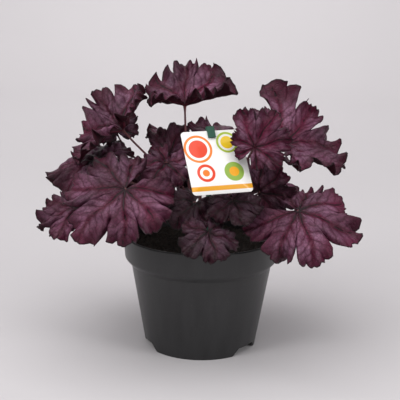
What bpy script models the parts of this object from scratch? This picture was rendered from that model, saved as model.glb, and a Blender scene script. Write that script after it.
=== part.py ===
"""A heuchera in its nursery pot, with a plant label on a stake.

Metres, +Z up. The origin is the middle of the pot's foot, on the surface it stands on.
The front of the plant, where the label faces, looks along -Y.
"""

import math
from dataclasses import dataclass

import bmesh
import bpy
import numpy as np
from mathutils import Vector

MM = 0.001
GAP = 0.3 * MM

# Pot: a turned tub with a straight band at the rim, arches cut in its foot and drain holes in its floor
POT_SIDES = 40
POT_HEIGHT = 110 * MM
POT_WALL = 1.6 * MM
POT_FOOT_RADIUS = 53.5 * MM
POT_SHOULDER_RADIUS = 67.5 * MM
POT_RIM_RADIUS = 75 * MM
BAND_UNDERSIDE = 81 * MM
BAND_FLARE = 6 * MM
FLOOR_UNDERSIDE = 8 * MM
FLOOR_THICKNESS = 1.6 * MM
ARCH_HEIGHT = 7 * MM
ARCH_SLOPE = 7
FOOT_TURN = -7.5
ARCH_SPANS = ((43, 81), (99, 137), (223, 261), (279, 317))
DRAIN_COUNT = 8
DRAIN_RING_RADIUS = 38 * MM
DRAIN_RADIUS = 4 * MM

# Soil: fills the pot to a little under the rim, with an uneven top
SOIL_GAP = 0.45 * MM
SOIL_TOP = 98 * MM
SOIL_RELIEF = 1.4 * MM
SOIL_RINGS = (0.86, 0.7, 0.52, 0.36)

# Crown: the short woody stock that every leaf stalk grows from
CROWN_SIDES = 24
CROWN_RADIUS = 19 * MM
CROWN_RISE = 9 * MM
CROWN_DEPTH = 14 * MM
STALK_DEPTH = 13 * MM
SOCKET_TURN = 137.508
SOCKET_SPREAD = 3.55 * MM

# Leaves: a blade like an open fan round the top of its stalk
BLADE_THICKNESS = 0.9 * MM
STALK_RADIUS = 1.3 * MM
STALK_SIDES = 5
STALK_SEGMENTS = 7
SINUS_EDGE = 163
RAY_STEPS = 50
FINE_RINGS = (0, 0.36, 0.66, 0.86, 1)
PLAIN_RINGS = (0, 0.42, 0.76, 1)
FINE_SAMPLES = (-1 / 3, -1 / 6, 0, 1 / 6, 1 / 3, 1 / 2)
PLAIN_SAMPLES = (-0.32, 0, 0.32, 1 / 2)
LOBE_DEPTH = 0.33
TOOTH_DEPTH = 0.06

# Label: a card gripped at its top edge by the head of a stake that stands in the soil
CARD_WIDTH = 56 * MM
CARD_HEIGHT = 60 * MM
CARD_THICKNESS = 0.8 * MM
CARD_CORNER = 3.5 * MM
CARD_CENTRE = (12.3, -79.7, 196.4)
CARD_RIGHT = (0.936, 0.352, 0)
CARD_UP = (-0.207, 0.552, 0.808)
STAKE_FOOT = (6, -36, 62)
STAKE_WIDTH = 5 * MM
STAKE_THICKNESS = 1.6 * MM
HEAD_WIDTH = 7 * MM
HEAD_JAW = 1.2 * MM
HEAD_REACH = 7 * MM
HEAD_RISE = 3.6 * MM


@dataclass(frozen=True)
class Leaf:
    """One leaf. Lengths are in millimetres and angles in degrees.

    Base is where the stalk meets the blade. Midrib and face are the ways that the middle vein and
    the upper side point. The blade leaves the stalk by the cup, has bent down by the droop at its
    edge, rises by the saddle along the midrib and sinks by it to the sides, and waves by the ruffle.
    Lengths, where given, hold a share of the size for each lobe, from the face's left to its right.
    A fine leaf is cut into smaller triangles.
    """

    name: str
    base: tuple
    midrib: tuple
    face: tuple
    size: float
    cup: float
    droop: float
    ruffle: float
    seed: int
    socket: int
    lobes: int = 7
    saddle: float = 0
    lengths: tuple = ()
    fine: bool = False


LEAVES = (
    Leaf("leaf_top", (-17.7, 10.7, 230.1), (0.02, 0.99, 0.15), (-0.05, -0.15, 0.99), 56, 36, 0, 26, 42,
         12, saddle=13, lengths=(0.75, 0.7, 0.92, 1, 0.98, 0.95, 0.8), fine=True),
    Leaf("leaf_upper_left", (-75.5, -4.2, 209.5), (-0.19, 0.97, 0.16), (-0.64, -0.25, 0.73), 54, 36, 0,
         26, 36, 15, saddle=13, lengths=(0.92, 1.08, 1.05, 1, 0.95, 0.75, 0.68), fine=True),
    Leaf("leaf_upper_right", (76.2, 11, 193.7), (0.38, 0.89, 0.26), (0.49, -0.43, 0.76), 62, 30, 0, 28,
         53, 5, saddle=6, lengths=(0.5, 0.6, 1.08, 0.92, 1.1, 1.05, 0.62), fine=True),
    Leaf("leaf_left_front", (-67.1, -86.9, 172.6), (-0.75, -0.43, -0.5), (-0.09, -0.69, 0.72), 64, 4,
         22, 20, 3328, 10, lengths=(0.72, 0.85, 0.85, 1.08, 1, 0.8, 0.66), fine=True),
    Leaf("leaf_left_low", (-110.4, -58.4, 146.5), (-0.95, -0.24, -0.18),
         (-0.09, -0.36, 0.93), 42, 6, 16, 30, 35, 17, fine=True),
    Leaf("leaf_right_front", (85.8, -68.9, 150.5), (0.9, -0.39, -0.19), (-0.09, -0.61, 0.79), 58, 4, 22,
         24, 1175, 8, lengths=(0.55, 0.65, 0.82, 1.1, 1, 0.95, 0.95), fine=True),
    Leaf("leaf_left_back", (-100.5, -3.4, 180.1), (-0.96, 0.19, -0.19),
         (-0.24, -0.26, 0.93), 56, 8, 26, 26, 36, 20, fine=True),
    Leaf("leaf_right_mid", (44.9, -76.6, 209.2), (0.46, 0.1, 0.88), (-0.16, -0.97, 0.19), 37, 20, 12,
         32, 34, 3, lengths=(0.5, 0.65, 0.95, 1, 0.95, 0.8, 0.6), fine=True),
    Leaf("leaf_centre", (-33.6, -31.7, 184.3), (-0.43, -0.72, -0.54),
         (-0.05, -0.58, 0.82), 32, 12, 12, 28, 9, 7, lobes=5),
    Leaf("leaf_centre_back", (-33.2, 20.7, 180.6), (0.42, 0.7, 0.58),
         (0.06, -0.65, 0.75), 34, 35, 4, 26, 10, 1, lobes=5),
    Leaf("leaf_under_label", (-6.4, -67.1, 156.5), (-0.58, -0.72, -0.38),
         (0.1, -0.53, 0.84), 36, 6, 20, 26, 11, 0, lobes=5),
    Leaf("leaf_right_inner", (54, -21.5, 156), (0.64, -0.38, 0.67),
         (-0.51, -0.86, -0), 42, 12, 12, 26, 12, 21),
    Leaf("leaf_low_right", (27, -74.9, 160.4), (0.39, -0.76, -0.53),
         (0.09, -0.53, 0.84), 31, 8, 18, 26, 24, 13, lobes=5),
    Leaf("leaf_rim_front", (5.8, -102, 138.5), (0.33, -0.77, -0.54),
         (0.21, -0.5, 0.84), 34, 6, 20, 28, 13, 23, lobes=5),
    Leaf("leaf_right_dark", (72.9, 55.5, 173.8), (0.73, 0.43, -0.53),
         (0.53, 0.13, 0.84), 34, 16, 12, 26, 14, 4, lobes=5),
    Leaf("leaf_left_dark", (-83.6, 25.3, 200.9), (-0.43, 0.76, 0.48),
         (-0.19, -0.6, 0.78), 32, 22, 10, 26, 15, 9, lobes=5),
    Leaf("leaf_behind_label", (14.5, 32.5, 194.5), (0.07, 0.99, 0.12),
         (0.07, -0.12, 0.99), 38, 26, 10, 26, 16, 14, lobes=5),
    Leaf("leaf_upper_right_back", (55.4, 76.7, 199.2), (0.24, 0.95, 0.2),
         (-0.05, -0.19, 0.98), 34, 30, 10, 28, 17, 16, lobes=5),
    Leaf("leaf_back_right", (61.3, 86.2, 143.1), (0.66, 0.69, -0.3),
         (0.24, 0.19, 0.95), 48, 8, 24, 24, 18, 19),
    Leaf("leaf_back", (-0.1, 80.9, 142.6), (-0.16, 0.92, -0.35),
         (0.29, 0.38, 0.88), 50, 8, 24, 24, 19, 6),
    Leaf("leaf_back_left", (-60.7, 69.1, 150.7), (-0.6, 0.69, -0.4),
         (0.29, 0.65, 0.7), 56, 8, 24, 24, 20, 22),
    Leaf("leaf_back_high", (-17.6, 75.3, 186.1), (-0.37, 0.91, -0.17),
         (0.17, 0.25, 0.95), 46, 16, 16, 26, 21, 11),
    Leaf("leaf_side_right", (108.6, 10.7, 135.3), (0.81, 0.46, -0.35),
         (0.39, 0.03, 0.92), 53.5, 8, 20, 26, 22, 18),
    Leaf("leaf_side_left", (-98.2, 32, 130.7), (-0.89, 0.24, -0.38),
         (-0.37, 0.07, 0.93), 48, 8, 20, 26, 23, 2),
)


def clear_scene():
    """Removes whatever the file opened with."""
    for old in list(bpy.data.objects):
        bpy.data.objects.remove(old, do_unlink=True)


def material(name, colour, roughness, metallic=0.0):
    """A plain surface of one colour."""
    made = bpy.data.materials.new(name)
    made.use_nodes = True
    shader = made.node_tree.nodes["Principled BSDF"]
    shader.inputs["Base Color"].default_value = (*colour, 1.0)
    shader.inputs["Roughness"].default_value = roughness
    shader.inputs["Metallic"].default_value = metallic
    return made


def object_from(name, points, faces, finish, hidden=False):
    """A mesh object with its faces turned outwards. A hidden one is a cutter."""
    mesh = bpy.data.meshes.new(name)
    mesh.from_pydata([tuple(p) for p in points], [], faces)
    work = bmesh.new()
    work.from_mesh(mesh)
    bmesh.ops.recalc_face_normals(work, faces=work.faces)
    work.to_mesh(mesh)
    work.free()
    made = bpy.data.objects.new(name, mesh)
    bpy.context.scene.collection.objects.link(made)
    if finish:
        mesh.materials.append(finish)
    if hidden:
        made.hide_render = True
        made.display_type = "WIRE"
    return made


def apply_boolean(target, cutters, operation, solver="EXACT"):
    """Joins the cutters to the target, or cuts them from it, then removes them."""
    for cutter in cutters:
        step = target.modifiers.new("step", "BOOLEAN")
        step.operation = operation
        step.object = cutter
        step.solver = solver
    bpy.context.view_layer.update()
    graph = bpy.context.evaluated_depsgraph_get()
    result = bpy.data.meshes.new_from_object(target.evaluated_get(graph))
    old = target.data
    target.modifiers.clear()
    target.data = result
    bpy.data.meshes.remove(old)
    for cutter in cutters:
        bpy.data.objects.remove(cutter, do_unlink=True)


def turned(name, profile, sides, finish, hidden=False):
    """A closed profile of (radius, height) turned about Z, with a single point where the radius is 0."""
    points = []
    rings = []
    for radius, height in profile:
        if radius == 0:
            rings.append([len(points)] * sides)
            points.append((0, 0, height))
            continue
        rings.append(list(range(len(points), len(points) + sides)))
        for side in range(sides):
            angle = 2 * math.pi * side / sides
            points.append((radius * math.cos(angle), radius * math.sin(angle), height))
    faces = []
    closed = profile[0][0] != 0
    count = len(rings)
    for first in range(count if closed else count - 1):
        lower = rings[first]
        upper = rings[(first + 1) % count]
        for side in range(sides):
            after = (side + 1) % sides
            corners = [lower[side], lower[after], upper[after], upper[side]]
            faces.append(tuple(dict.fromkeys(corners)))
    return object_from(name, points, faces, finish, hidden)


def cylinder(name, centre, radius, low, high, sides):
    """An upright cutter."""
    ring = [(math.cos(2 * math.pi * k / sides), math.sin(2 * math.pi * k / sides)) for k in range(sides)]
    points = [(centre[0] + radius * c, centre[1] + radius * s, z) for z in (low, high) for c, s in ring]
    faces = [tuple(range(sides)), tuple(range(sides, 2 * sides))]
    faces += [(k, (k + 1) % sides, (k + 1) % sides + sides, k + sides) for k in range(sides)]
    return object_from(name, points, faces, None, hidden=True)


def arch_cutter(name, start, end):
    """A block that cuts one arch in the foot's skirt, between two angles in degrees, with sloped ends."""
    steps = 5
    low, high = -2 * MM, ARCH_HEIGHT
    inner, outer = POT_FOOT_RADIUS - 12 * MM, POT_FOOT_RADIUS + 10 * MM
    points = []
    for z, trim in ((low, -ARCH_SLOPE * 2 / 7), (high, ARCH_SLOPE)):
        for k in range(steps + 1):
            turn = start + trim + (end - start - 2 * trim) * k / steps
            angle = math.radians(turn + FOOT_TURN - 90)
            for radius in (inner, outer):
                points.append((radius * math.cos(angle), radius * math.sin(angle), z))
    row = 2 * (steps + 1)
    faces = []
    for k in range(steps):
        a = 2 * k
        faces.append((a, a + 1, a + 3, a + 2))
        faces.append((row + a, row + a + 2, row + a + 3, row + a + 1))
        faces.append((a, a + 2, row + a + 2, row + a))
        faces.append((a + 1, row + a + 1, row + a + 3, a + 3))
    faces.append((0, row, row + 1, 1))
    last = row - 2
    faces.append((last, last + 1, row + last + 1, row + last))
    return object_from(name, points, faces, None, hidden=True)


def wall_radius(height):
    """The pot's outer radius at a height below the band."""
    share = height / BAND_UNDERSIDE
    return POT_FOOT_RADIUS + (POT_SHOULDER_RADIUS - POT_FOOT_RADIUS) * share


def build_pot(finish):
    """The tub: foot skirt, raised floor, sloping wall and the straight band at the rim."""
    band_radius = POT_RIM_RADIUS - 1.5 * MM
    floor_top = FLOOR_UNDERSIDE + FLOOR_THICKNESS
    profile = [
        (0, FLOOR_UNDERSIDE),
        (wall_radius(FLOOR_UNDERSIDE) - POT_WALL, FLOOR_UNDERSIDE),
        (POT_FOOT_RADIUS - POT_WALL, 0),
        (POT_FOOT_RADIUS, 0),
        (POT_SHOULDER_RADIUS, BAND_UNDERSIDE),
        (band_radius, BAND_UNDERSIDE + BAND_FLARE),
        (POT_RIM_RADIUS, POT_HEIGHT - 1 * MM),
        (POT_RIM_RADIUS - 0.8 * MM, POT_HEIGHT),
        (POT_RIM_RADIUS - POT_WALL - 0.6 * MM, POT_HEIGHT),
        (band_radius - POT_WALL, BAND_UNDERSIDE + BAND_FLARE + 1 * MM),
        (POT_SHOULDER_RADIUS - POT_WALL, BAND_UNDERSIDE + 1 * MM),
        (wall_radius(floor_top) - POT_WALL, floor_top),
        (0, floor_top),
    ]
    pot = turned("pot", profile, POT_SIDES, finish)
    cutters = [arch_cutter(f"arch_{k}", *span) for k, span in enumerate(ARCH_SPANS)]
    for k in range(DRAIN_COUNT):
        angle = 2 * math.pi * (k + 0.5) / DRAIN_COUNT
        centre = (DRAIN_RING_RADIUS * math.cos(angle), DRAIN_RING_RADIUS * math.sin(angle))
        cutters.append(cylinder(f"drain_{k}", centre, DRAIN_RADIUS, 5 * MM, 15 * MM, 10))
    apply_boolean(pot, cutters, "DIFFERENCE")
    return pot


def direction(vector):
    """The same way, one long."""
    vector = np.array(vector, float)
    return vector / np.linalg.norm(vector)


def lobe_table(leaf):
    """Angle, length and climb of each lobe, the waves' phases and each notch's depth, seeded."""
    draw = np.random.default_rng(leaf.seed)
    half = (leaf.lobes - 1) / 2
    place = (np.arange(leaf.lobes) - half) / half
    angles = place * (SINUS_EDGE - SINUS_EDGE / leaf.lobes) + draw.uniform(-4, 4, leaf.lobes)
    lengths = np.array(leaf.lengths) if leaf.lengths else 1 - 0.3 * np.abs(place) ** 1.6
    lengths = lengths * draw.uniform(0.92, 1.05, leaf.lobes)
    lifts = draw.uniform(-14, 14, leaf.lobes)
    waves = draw.uniform(0, 2 * math.pi, 3)
    depths = draw.uniform(0.6, 1.3, leaf.lobes + 1)
    return angles, lengths, lifts, waves, depths


def blade_rays(leaf, phases, shares):
    """Points of the blade's middle surface in its own frame, rays by shares.

    A phase counts lobes, whole at a lobe's middle and a half more between two lobes. Each ray
    leaves the stalk's top at its own angle in the plane and climbs or falls by a slope that changes
    along it: the cup, which flattens outwards, the saddle, the droop, a hollow along each lobe's
    vein that turns into a crest at the tip, a wave that grows towards the edge and a longer one,
    a short ruffle with three crests to a lobe, and the lobe's own climb.
    """
    angles, lengths, lifts, waves, depths = lobe_table(leaf)
    part = phases - np.round(phases)
    blunt = np.round(phases) + part * (1.3 - 1.2 * part * part)
    knots = np.concatenate([[-0.5], np.arange(leaf.lobes), [leaf.lobes - 0.5]])
    turn = np.radians(np.interp(blunt, knots, [-SINUS_EDGE, *angles, SINUS_EDGE]))
    held = np.round(phases) + part * np.abs(2 * part) ** 1.5
    length = np.interp(held, np.arange(leaf.lobes), lengths)
    lift = np.interp(held, np.arange(leaf.lobes), lifts)[:, None]
    depth = depths[np.floor(phases).astype(int) + 1]
    reach = 1 - LOBE_DEPTH * depth * (2 * part) ** 4
    tooth = 1 - TOOTH_DEPTH * (1 - np.abs(np.cos(3 * math.pi * part)) ** 0.8)
    radius = leaf.size * MM * length * reach * tooth
    run = np.linspace(0, 1, RAY_STEPS + 1)[None, :]
    ring = phases[:, None]
    outer = run * run * (3 - 2 * run)
    slope = (
        leaf.cup * (1 - 0.5 * run)
        + leaf.saddle * np.cos(2 * turn)[:, None]
        - leaf.droop * 2 * run**1.5
        - leaf.ruffle * 0.9 * outer * (1 - 1.9 * run**3) * np.cos(2 * math.pi * ring)
        + leaf.ruffle * 0.5 * run**3 * np.sin(3 * math.pi * ring + waves[0])
        + leaf.ruffle * 0.4 * outer * np.sin(2 * math.pi * ring / 2.3 + waves[1])
        + leaf.ruffle * (1 + np.sin(2 * math.pi * ring / 1.7 + waves[2])) * run**6
        * np.cos(6 * math.pi * ring)
        + lift * run
    )
    slope = np.radians(slope)
    step = radius[:, None] / RAY_STEPS
    middle = (slope[:, 1:] + slope[:, :-1]) / 2
    out = np.concatenate([np.zeros_like(step), np.cumsum(np.cos(middle) * step, axis=1)], axis=1)
    rise = np.concatenate([np.zeros_like(step), np.cumsum(np.sin(middle) * step, axis=1)], axis=1)
    picks = np.round(np.array(shares) * RAY_STEPS).astype(int)
    across = np.sin(turn)[:, None] * out[:, picks]
    along = np.cos(turn)[:, None] * out[:, picks]
    return np.stack([across, along, rise[:, picks]], axis=-1)


def leaf_frame(leaf):
    """The blade frame's sideways, midrib and face directions as rows."""
    midrib = direction(leaf.midrib)
    face = np.array(leaf.face, float)
    face = direction(face - midrib * (face @ midrib))
    return np.stack([np.cross(midrib, face), midrib, face])


def blade_mesh(leaf):
    """Points and triangles of the blade: two sides cut alike, a wall round the edge."""
    samples = FINE_SAMPLES if leaf.fine else PLAIN_SAMPLES
    phases = [-0.5]
    for lobe in range(leaf.lobes):
        phases += [lobe + share for share in samples]
    rays = blade_rays(leaf, np.array(phases), FINE_RINGS if leaf.fine else PLAIN_RINGS)
    count, rings = rays.shape[:2]
    points = np.concatenate([rays[:1, 0], rays[:, 1:].reshape(-1, 3)])

    def index(ray, ring):
        return 0 if ring == 0 else 1 + ray * (rings - 1) + ring - 1

    sheet = []
    for ray in range(count - 1):
        for ring in range(rings - 1):
            a, b = index(ray, ring), index(ray + 1, ring)
            c, d = index(ray + 1, ring + 1), index(ray, ring + 1)
            if ring == 0:
                sheet.append((a, c, d))
            elif (ray + ring) % 2:
                sheet += [(a, b, c), (a, c, d)]
            else:
                sheet += [(a, b, d), (b, c, d)]
    sheet = np.array(sheet)[:, ::-1]
    corners = points[sheet]
    areas = np.cross(corners[:, 1] - corners[:, 0], corners[:, 2] - corners[:, 0])
    normals = np.zeros_like(points)
    for corner in range(3):
        np.add.at(normals, sheet[:, corner], areas)
    normals /= np.linalg.norm(normals, axis=1)[:, None]
    half = BLADE_THICKNESS / 2
    total = len(points)
    both = np.concatenate([points + normals * half, points - normals * half])
    border = [0] + [index(0, ring) for ring in range(1, rings)]
    border += [index(ray, rings - 1) for ray in range(1, count)]
    border += [index(count - 1, ring) for ring in range(rings - 2, 0, -1)]
    faces = [tuple(int(i) for i in f) for f in sheet]
    faces += [tuple(int(i) + total for i in f[::-1]) for f in sheet]
    for k, low in enumerate(border):
        high = border[(k + 1) % len(border)]
        faces += [(low, high, low + total), (high, high + total, low + total)]
    return both, faces


def socket_place(order):
    """Where a stalk stands in the crown: the sockets wind outwards like seeds in a flower head."""
    reach = SOCKET_SPREAD * math.sqrt(order + 0.5)
    angle = math.radians(SOCKET_TURN * order)
    return reach * math.cos(angle), reach * math.sin(angle)


def stalk_path(leaf, end, frame):
    """Points down the middle of the stalk, from the bottom of its socket to the blade."""
    x, y = socket_place(leaf.socket)
    top = Vector(end)
    foot = Vector((x, y, SOIL_TOP + CROWN_RISE + 1 * MM))
    arrive = Vector(direction(0.85 * frame[2] + 0.5 * frame[1]))
    span = (top - foot).length
    first = foot + Vector((0, 0, 1)) * span * 0.34
    second = top - arrive * span * 0.34
    path = [Vector((x, y, SOIL_TOP + CROWN_RISE - STALK_DEPTH))]
    for k in range(STALK_SEGMENTS):
        t = k / (STALK_SEGMENTS - 1)
        near = foot * (1 - t) ** 3 + first * 3 * t * (1 - t) ** 2
        path.append(near + second * 3 * t * t * (1 - t) + top * t**3)
    return path


def tube(name, path, radii, sides, finish):
    """A closed tube along a path, with rings square to it."""
    points = []
    side_way = Vector((1, 0, 0))
    for k, centre in enumerate(path):
        ahead = path[min(k + 1, len(path) - 1)] - path[max(k - 1, 0)]
        ahead.normalize()
        side_way = (side_way - ahead * side_way.dot(ahead)).normalized()
        other = ahead.cross(side_way)
        for s in range(sides):
            angle = 2 * math.pi * s / sides
            points.append(centre + (side_way * math.cos(angle) + other * math.sin(angle)) * radii[k])
    faces = [tuple(range(sides)), tuple(range(len(points) - sides, len(points)))]
    for k in range(len(path) - 1):
        for s in range(sides):
            after = (s + 1) % sides
            low = k * sides
            faces.append((low + s, low + after, low + sides + after, low + sides + s))
    return object_from(name, points, faces, finish)


def build_leaf(leaf, finish):
    """One leaf: its blade joined to its stalk."""
    frame = leaf_frame(leaf)
    local, faces = blade_mesh(leaf)
    base = np.array(leaf.base) * MM
    blade = object_from(leaf.name, local @ frame + base, faces, finish)
    path = stalk_path(leaf, base + frame[1] * 0.4 * MM, frame)
    scale = 1 if leaf.size > 40 else 0.85
    radii = [STALK_RADIUS * scale * (1 - 0.3 * k / len(path)) for k in range(len(path))]
    stalk = tube(leaf.name + "_stalk", path, radii, STALK_SIDES, finish)
    apply_boolean(blade, [stalk], "UNION")
    return blade


def stake_top():
    """The middle of the card's top edge."""
    return np.array(CARD_CENTRE) * MM + direction(CARD_UP) * CARD_HEIGHT / 2


def card_frame():
    """The card's right, up and front directions as rows."""
    right = direction(CARD_RIGHT)
    up = np.array(CARD_UP) - right * (right @ np.array(CARD_UP))
    up = direction(up)
    return np.stack([right, up, np.cross(right, up)])


def block(name, centre, frame, low, high, finish, hidden=False):
    """A box whose sides follow the frame's rows, between two corners measured from its centre."""
    points = []
    for x in (low[0], high[0]):
        for y in (low[1], high[1]):
            for z in (low[2], high[2]):
                points.append(centre + np.array([x, y, z]) @ frame)
    faces = [(0, 1, 3, 2), (4, 6, 7, 5), (0, 4, 5, 1), (2, 3, 7, 6), (0, 2, 6, 4), (1, 5, 7, 3)]
    return object_from(name, points, faces, finish, hidden)


def stake_bar(name, grow, finish, hidden=False):
    """The stake's bar, or with growth on every side the cutter of its slot in the soil."""
    foot = np.array(STAKE_FOOT) * MM
    top = stake_top() + card_frame()[1] * 2 * MM
    along = direction(top - foot)
    side = direction(np.cross(along, (0, 1, 0)) * -1)
    frame = np.stack([side, np.cross(along, side), along])
    half = (STAKE_WIDTH / 2 + grow, STAKE_THICKNESS / 2 + grow)
    length = float(np.linalg.norm(top - foot))
    return block(name, foot, frame, (-half[0], -half[1], -grow), (half[0], half[1], length), finish, hidden)


def build_soil(finish):
    """The soil, with a plain hole for the crown and one for the stake."""
    inner = POT_WALL + SOIL_GAP
    floor = FLOOR_UNDERSIDE + FLOOR_THICKNESS
    band = POT_RIM_RADIUS - 1.5 * MM
    edge = band - inner + 0.3 * MM
    profile = [
        (0, floor + GAP),
        (wall_radius(floor) - inner, floor + GAP),
        (POT_SHOULDER_RADIUS - inner, BAND_UNDERSIDE + 1 * MM),
        (band - inner, BAND_UNDERSIDE + BAND_FLARE + 1 * MM),
        (edge, SOIL_TOP),
    ]
    profile += [(edge * share, SOIL_TOP) for share in SOIL_RINGS]
    profile.append((0, SOIL_TOP))
    soil = turned("soil", profile, POT_SIDES, finish)
    for vertex in soil.data.vertices:
        if vertex.co.z > SOIL_TOP - GAP:
            x, y = vertex.co.x / MM, vertex.co.y / MM
            bump = math.sin(x / 7.3 + 1) * math.cos(y / 8.1) + 0.6 * math.sin(x / 3.7 + y / 4.9)
            vertex.co.z += SOIL_RELIEF * bump
    hole = cylinder("crown_hole", (0, 0), CROWN_RADIUS + GAP, SOIL_TOP - CROWN_DEPTH - GAP, 0.13,
                    CROWN_SIDES)
    apply_boolean(soil, [hole, stake_bar("stake_hole", GAP, None, hidden=True)], "DIFFERENCE")
    return soil


def build_crown(finish):
    """The crown, with a plain socket for every stalk."""
    low = SOIL_TOP - CROWN_DEPTH
    profile = [
        (0, low),
        (CROWN_RADIUS - 3 * MM, low),
        (CROWN_RADIUS, low + 4 * MM),
        (CROWN_RADIUS, SOIL_TOP + 1.5 * MM),
        (CROWN_RADIUS * 0.84, SOIL_TOP + CROWN_RISE * 0.6),
        (CROWN_RADIUS * 0.5, SOIL_TOP + CROWN_RISE * 0.92),
        (0, SOIL_TOP + CROWN_RISE),
    ]
    crown = turned("crown", profile, CROWN_SIDES, finish)
    sockets = []
    for leaf in LEAVES:
        bottom = SOIL_TOP + CROWN_RISE - STALK_DEPTH - GAP
        sockets.append(cylinder(f"socket_{leaf.socket}", socket_place(leaf.socket),
                                (STALK_RADIUS + GAP) / math.cos(math.pi / 6), bottom, 0.13, 6))
    apply_boolean(crown, sockets, "DIFFERENCE")
    return crown


def build_card(finish):
    """The label card, a thin plate with rounded corners."""
    frame = card_frame()
    outline = []
    for turn, x, y in ((0, 1, 1), (90, -1, 1), (180, -1, -1), (270, 1, -1)):
        for k in range(4):
            angle = math.radians(turn + 30 * k)
            outline.append((
                x * (CARD_WIDTH / 2 - CARD_CORNER) + CARD_CORNER * math.cos(angle),
                y * (CARD_HEIGHT / 2 - CARD_CORNER) + CARD_CORNER * math.sin(angle),
            ))
    half = CARD_THICKNESS / 2
    local = [(x, y, z) for z in (-half, half) for x, y in outline]
    points = np.array(local) @ frame + np.array(CARD_CENTRE) * MM
    count = len(outline)
    faces = [tuple(range(count)), tuple(range(count, 2 * count))]
    faces += [(k, (k + 1) % count, (k + 1) % count + count, k + count) for k in range(count)]
    return object_from("label_card", points, faces, finish)


def build_stake(finish):
    """The stake: a bar with a head whose two jaws hold the card's top edge."""
    frame = card_frame()
    top = stake_top()
    stake = stake_bar("label_stake", 0, finish)
    slot = CARD_THICKNESS / 2 + GAP
    deep = slot + HEAD_JAW
    half = HEAD_WIDTH / 2
    head = block("head", top, frame, (-half, -HEAD_REACH, -deep), (half, HEAD_RISE, deep), None, True)
    apply_boolean(stake, [head], "UNION")
    gap = block("gap", top, frame, (-half - MM, -HEAD_REACH - 9 * MM, -slot), (half + MM, GAP, slot), None, True)
    apply_boolean(stake, [gap], "DIFFERENCE")
    return stake


def main():
    """Builds every piece."""
    clear_scene()
    build_pot(material("pot_plastic", (0.03, 0.03, 0.032), 0.45))
    build_soil(material("peat_soil", (0.012, 0.01, 0.009), 0.95))
    build_crown(material("crown_bark", (0.05, 0.03, 0.022), 0.85))
    purple = material("leaf_purple", (0.11, 0.035, 0.06), 0.45)
    for leaf in LEAVES:
        build_leaf(leaf, purple)
    build_card(material("label_card", (0.85, 0.85, 0.83), 0.4))
    build_stake(material("stake_plastic", (0.01, 0.07, 0.04), 0.4))


main()
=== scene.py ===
"""Dresses the potted heuchera: living leaves, crown, peat, moulded pot, and a label on its stake.

Lengths are in millimetres until a mesh is made. The frame is the CAD part's own: +Z up, the origin
in the middle of the pot's foot on the surface it stands on, and the plant's front along -Y.
"""

import logging
import math
from dataclasses import dataclass, field
from enum import Enum

import bpy
import numpy as np
from mathutils import Matrix, Vector


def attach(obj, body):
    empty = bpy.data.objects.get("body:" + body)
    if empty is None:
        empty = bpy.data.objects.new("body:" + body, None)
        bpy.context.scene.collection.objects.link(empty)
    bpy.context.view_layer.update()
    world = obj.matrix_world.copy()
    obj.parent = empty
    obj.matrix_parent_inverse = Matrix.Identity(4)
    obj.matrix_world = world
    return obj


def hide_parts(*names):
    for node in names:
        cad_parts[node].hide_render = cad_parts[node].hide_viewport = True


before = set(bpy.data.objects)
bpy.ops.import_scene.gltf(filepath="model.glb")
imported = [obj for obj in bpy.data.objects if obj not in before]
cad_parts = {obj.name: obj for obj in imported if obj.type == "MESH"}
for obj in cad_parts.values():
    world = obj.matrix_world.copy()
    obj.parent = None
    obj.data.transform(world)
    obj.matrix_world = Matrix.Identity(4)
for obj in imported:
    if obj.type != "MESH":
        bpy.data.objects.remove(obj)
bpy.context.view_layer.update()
LOG = logging.getLogger("heuchera")
Array = np.ndarray
Point = tuple[float, float, float]

MM = 0.001
SOIL_TOP = 98
CROWN_RISE = 9
# A side vein leaves its main vein every 8.5 mm, and runs 1.15 mm outwards for each one off it.
SIDE_VEIN_STEP = 8.5
SIDE_VEIN_SLANT = 1.15


def linear(colour: str) -> tuple[float, float, float, float]:
    """Turns an sRGB hex colour into linear light.

    Args:
        colour: six hex digits after a hash sign.

    Returns:
        Red, green, blue and an alpha of 1.
    """
    parts = [int(colour[k:k + 2], 16) / 255 for k in (1, 3, 5)]
    turned = [c / 12.92 if c <= 0.04045 else ((c + 0.055) / 1.055) ** 2.4 for c in parts]
    return turned[0], turned[1], turned[2], 1.0


def unit(vector: Array) -> Array:
    """Scales vectors along the last axis to a length of 1."""
    return vector / np.maximum(np.linalg.norm(vector, axis=-1, keepdims=True), 1e-12)


def smooth_noise(points: Array, size: float, seed: int) -> Array:
    """A soft unevenness, mostly between -1 and 1: six sine waves in seeded directions, averaged.

    Args:
        points: places, with their coordinates along the last axis.
        size: the usual distance between two bumps.
        seed: picks the directions and phases.

    Returns:
        One number for each point.
    """
    draw = np.random.default_rng(seed)
    ways = unit(draw.normal(size=(6, points.shape[-1]))) * draw.uniform(0.7, 1.5, (6, 1))
    phases = draw.uniform(0, 2 * math.pi, 6)
    return np.sin(points @ ways.T * (2 * math.pi / size) + phases).mean(axis=-1) * 1.8


def layered_noise(points: Array, layers: tuple[tuple[float, float, int], ...]) -> Array:
    """Sums smooth noises, each given by its height, its size and its seed."""
    return sum(height * smooth_noise(points, size, seed) for height, size, seed in layers)


def grid_quads(rows: int, columns: int, wrap: bool = False) -> Array:
    """The quads of a grid of points that is stored row by row.

    Args:
        rows: how many rows of points there are.
        columns: how many points are in a row.
        wrap: whether the last column joins the first.

    Returns:
        Four point numbers for each quad.
    """
    index = np.arange(rows * columns).reshape(rows, columns)
    after = np.roll(index, -1, axis=1)
    if not wrap:
        index, after = index[:, :-1], after[:, :-1]
    return np.stack([index[:-1], after[:-1], after[1:], index[1:]], axis=-1).reshape(-1, 4)


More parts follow.
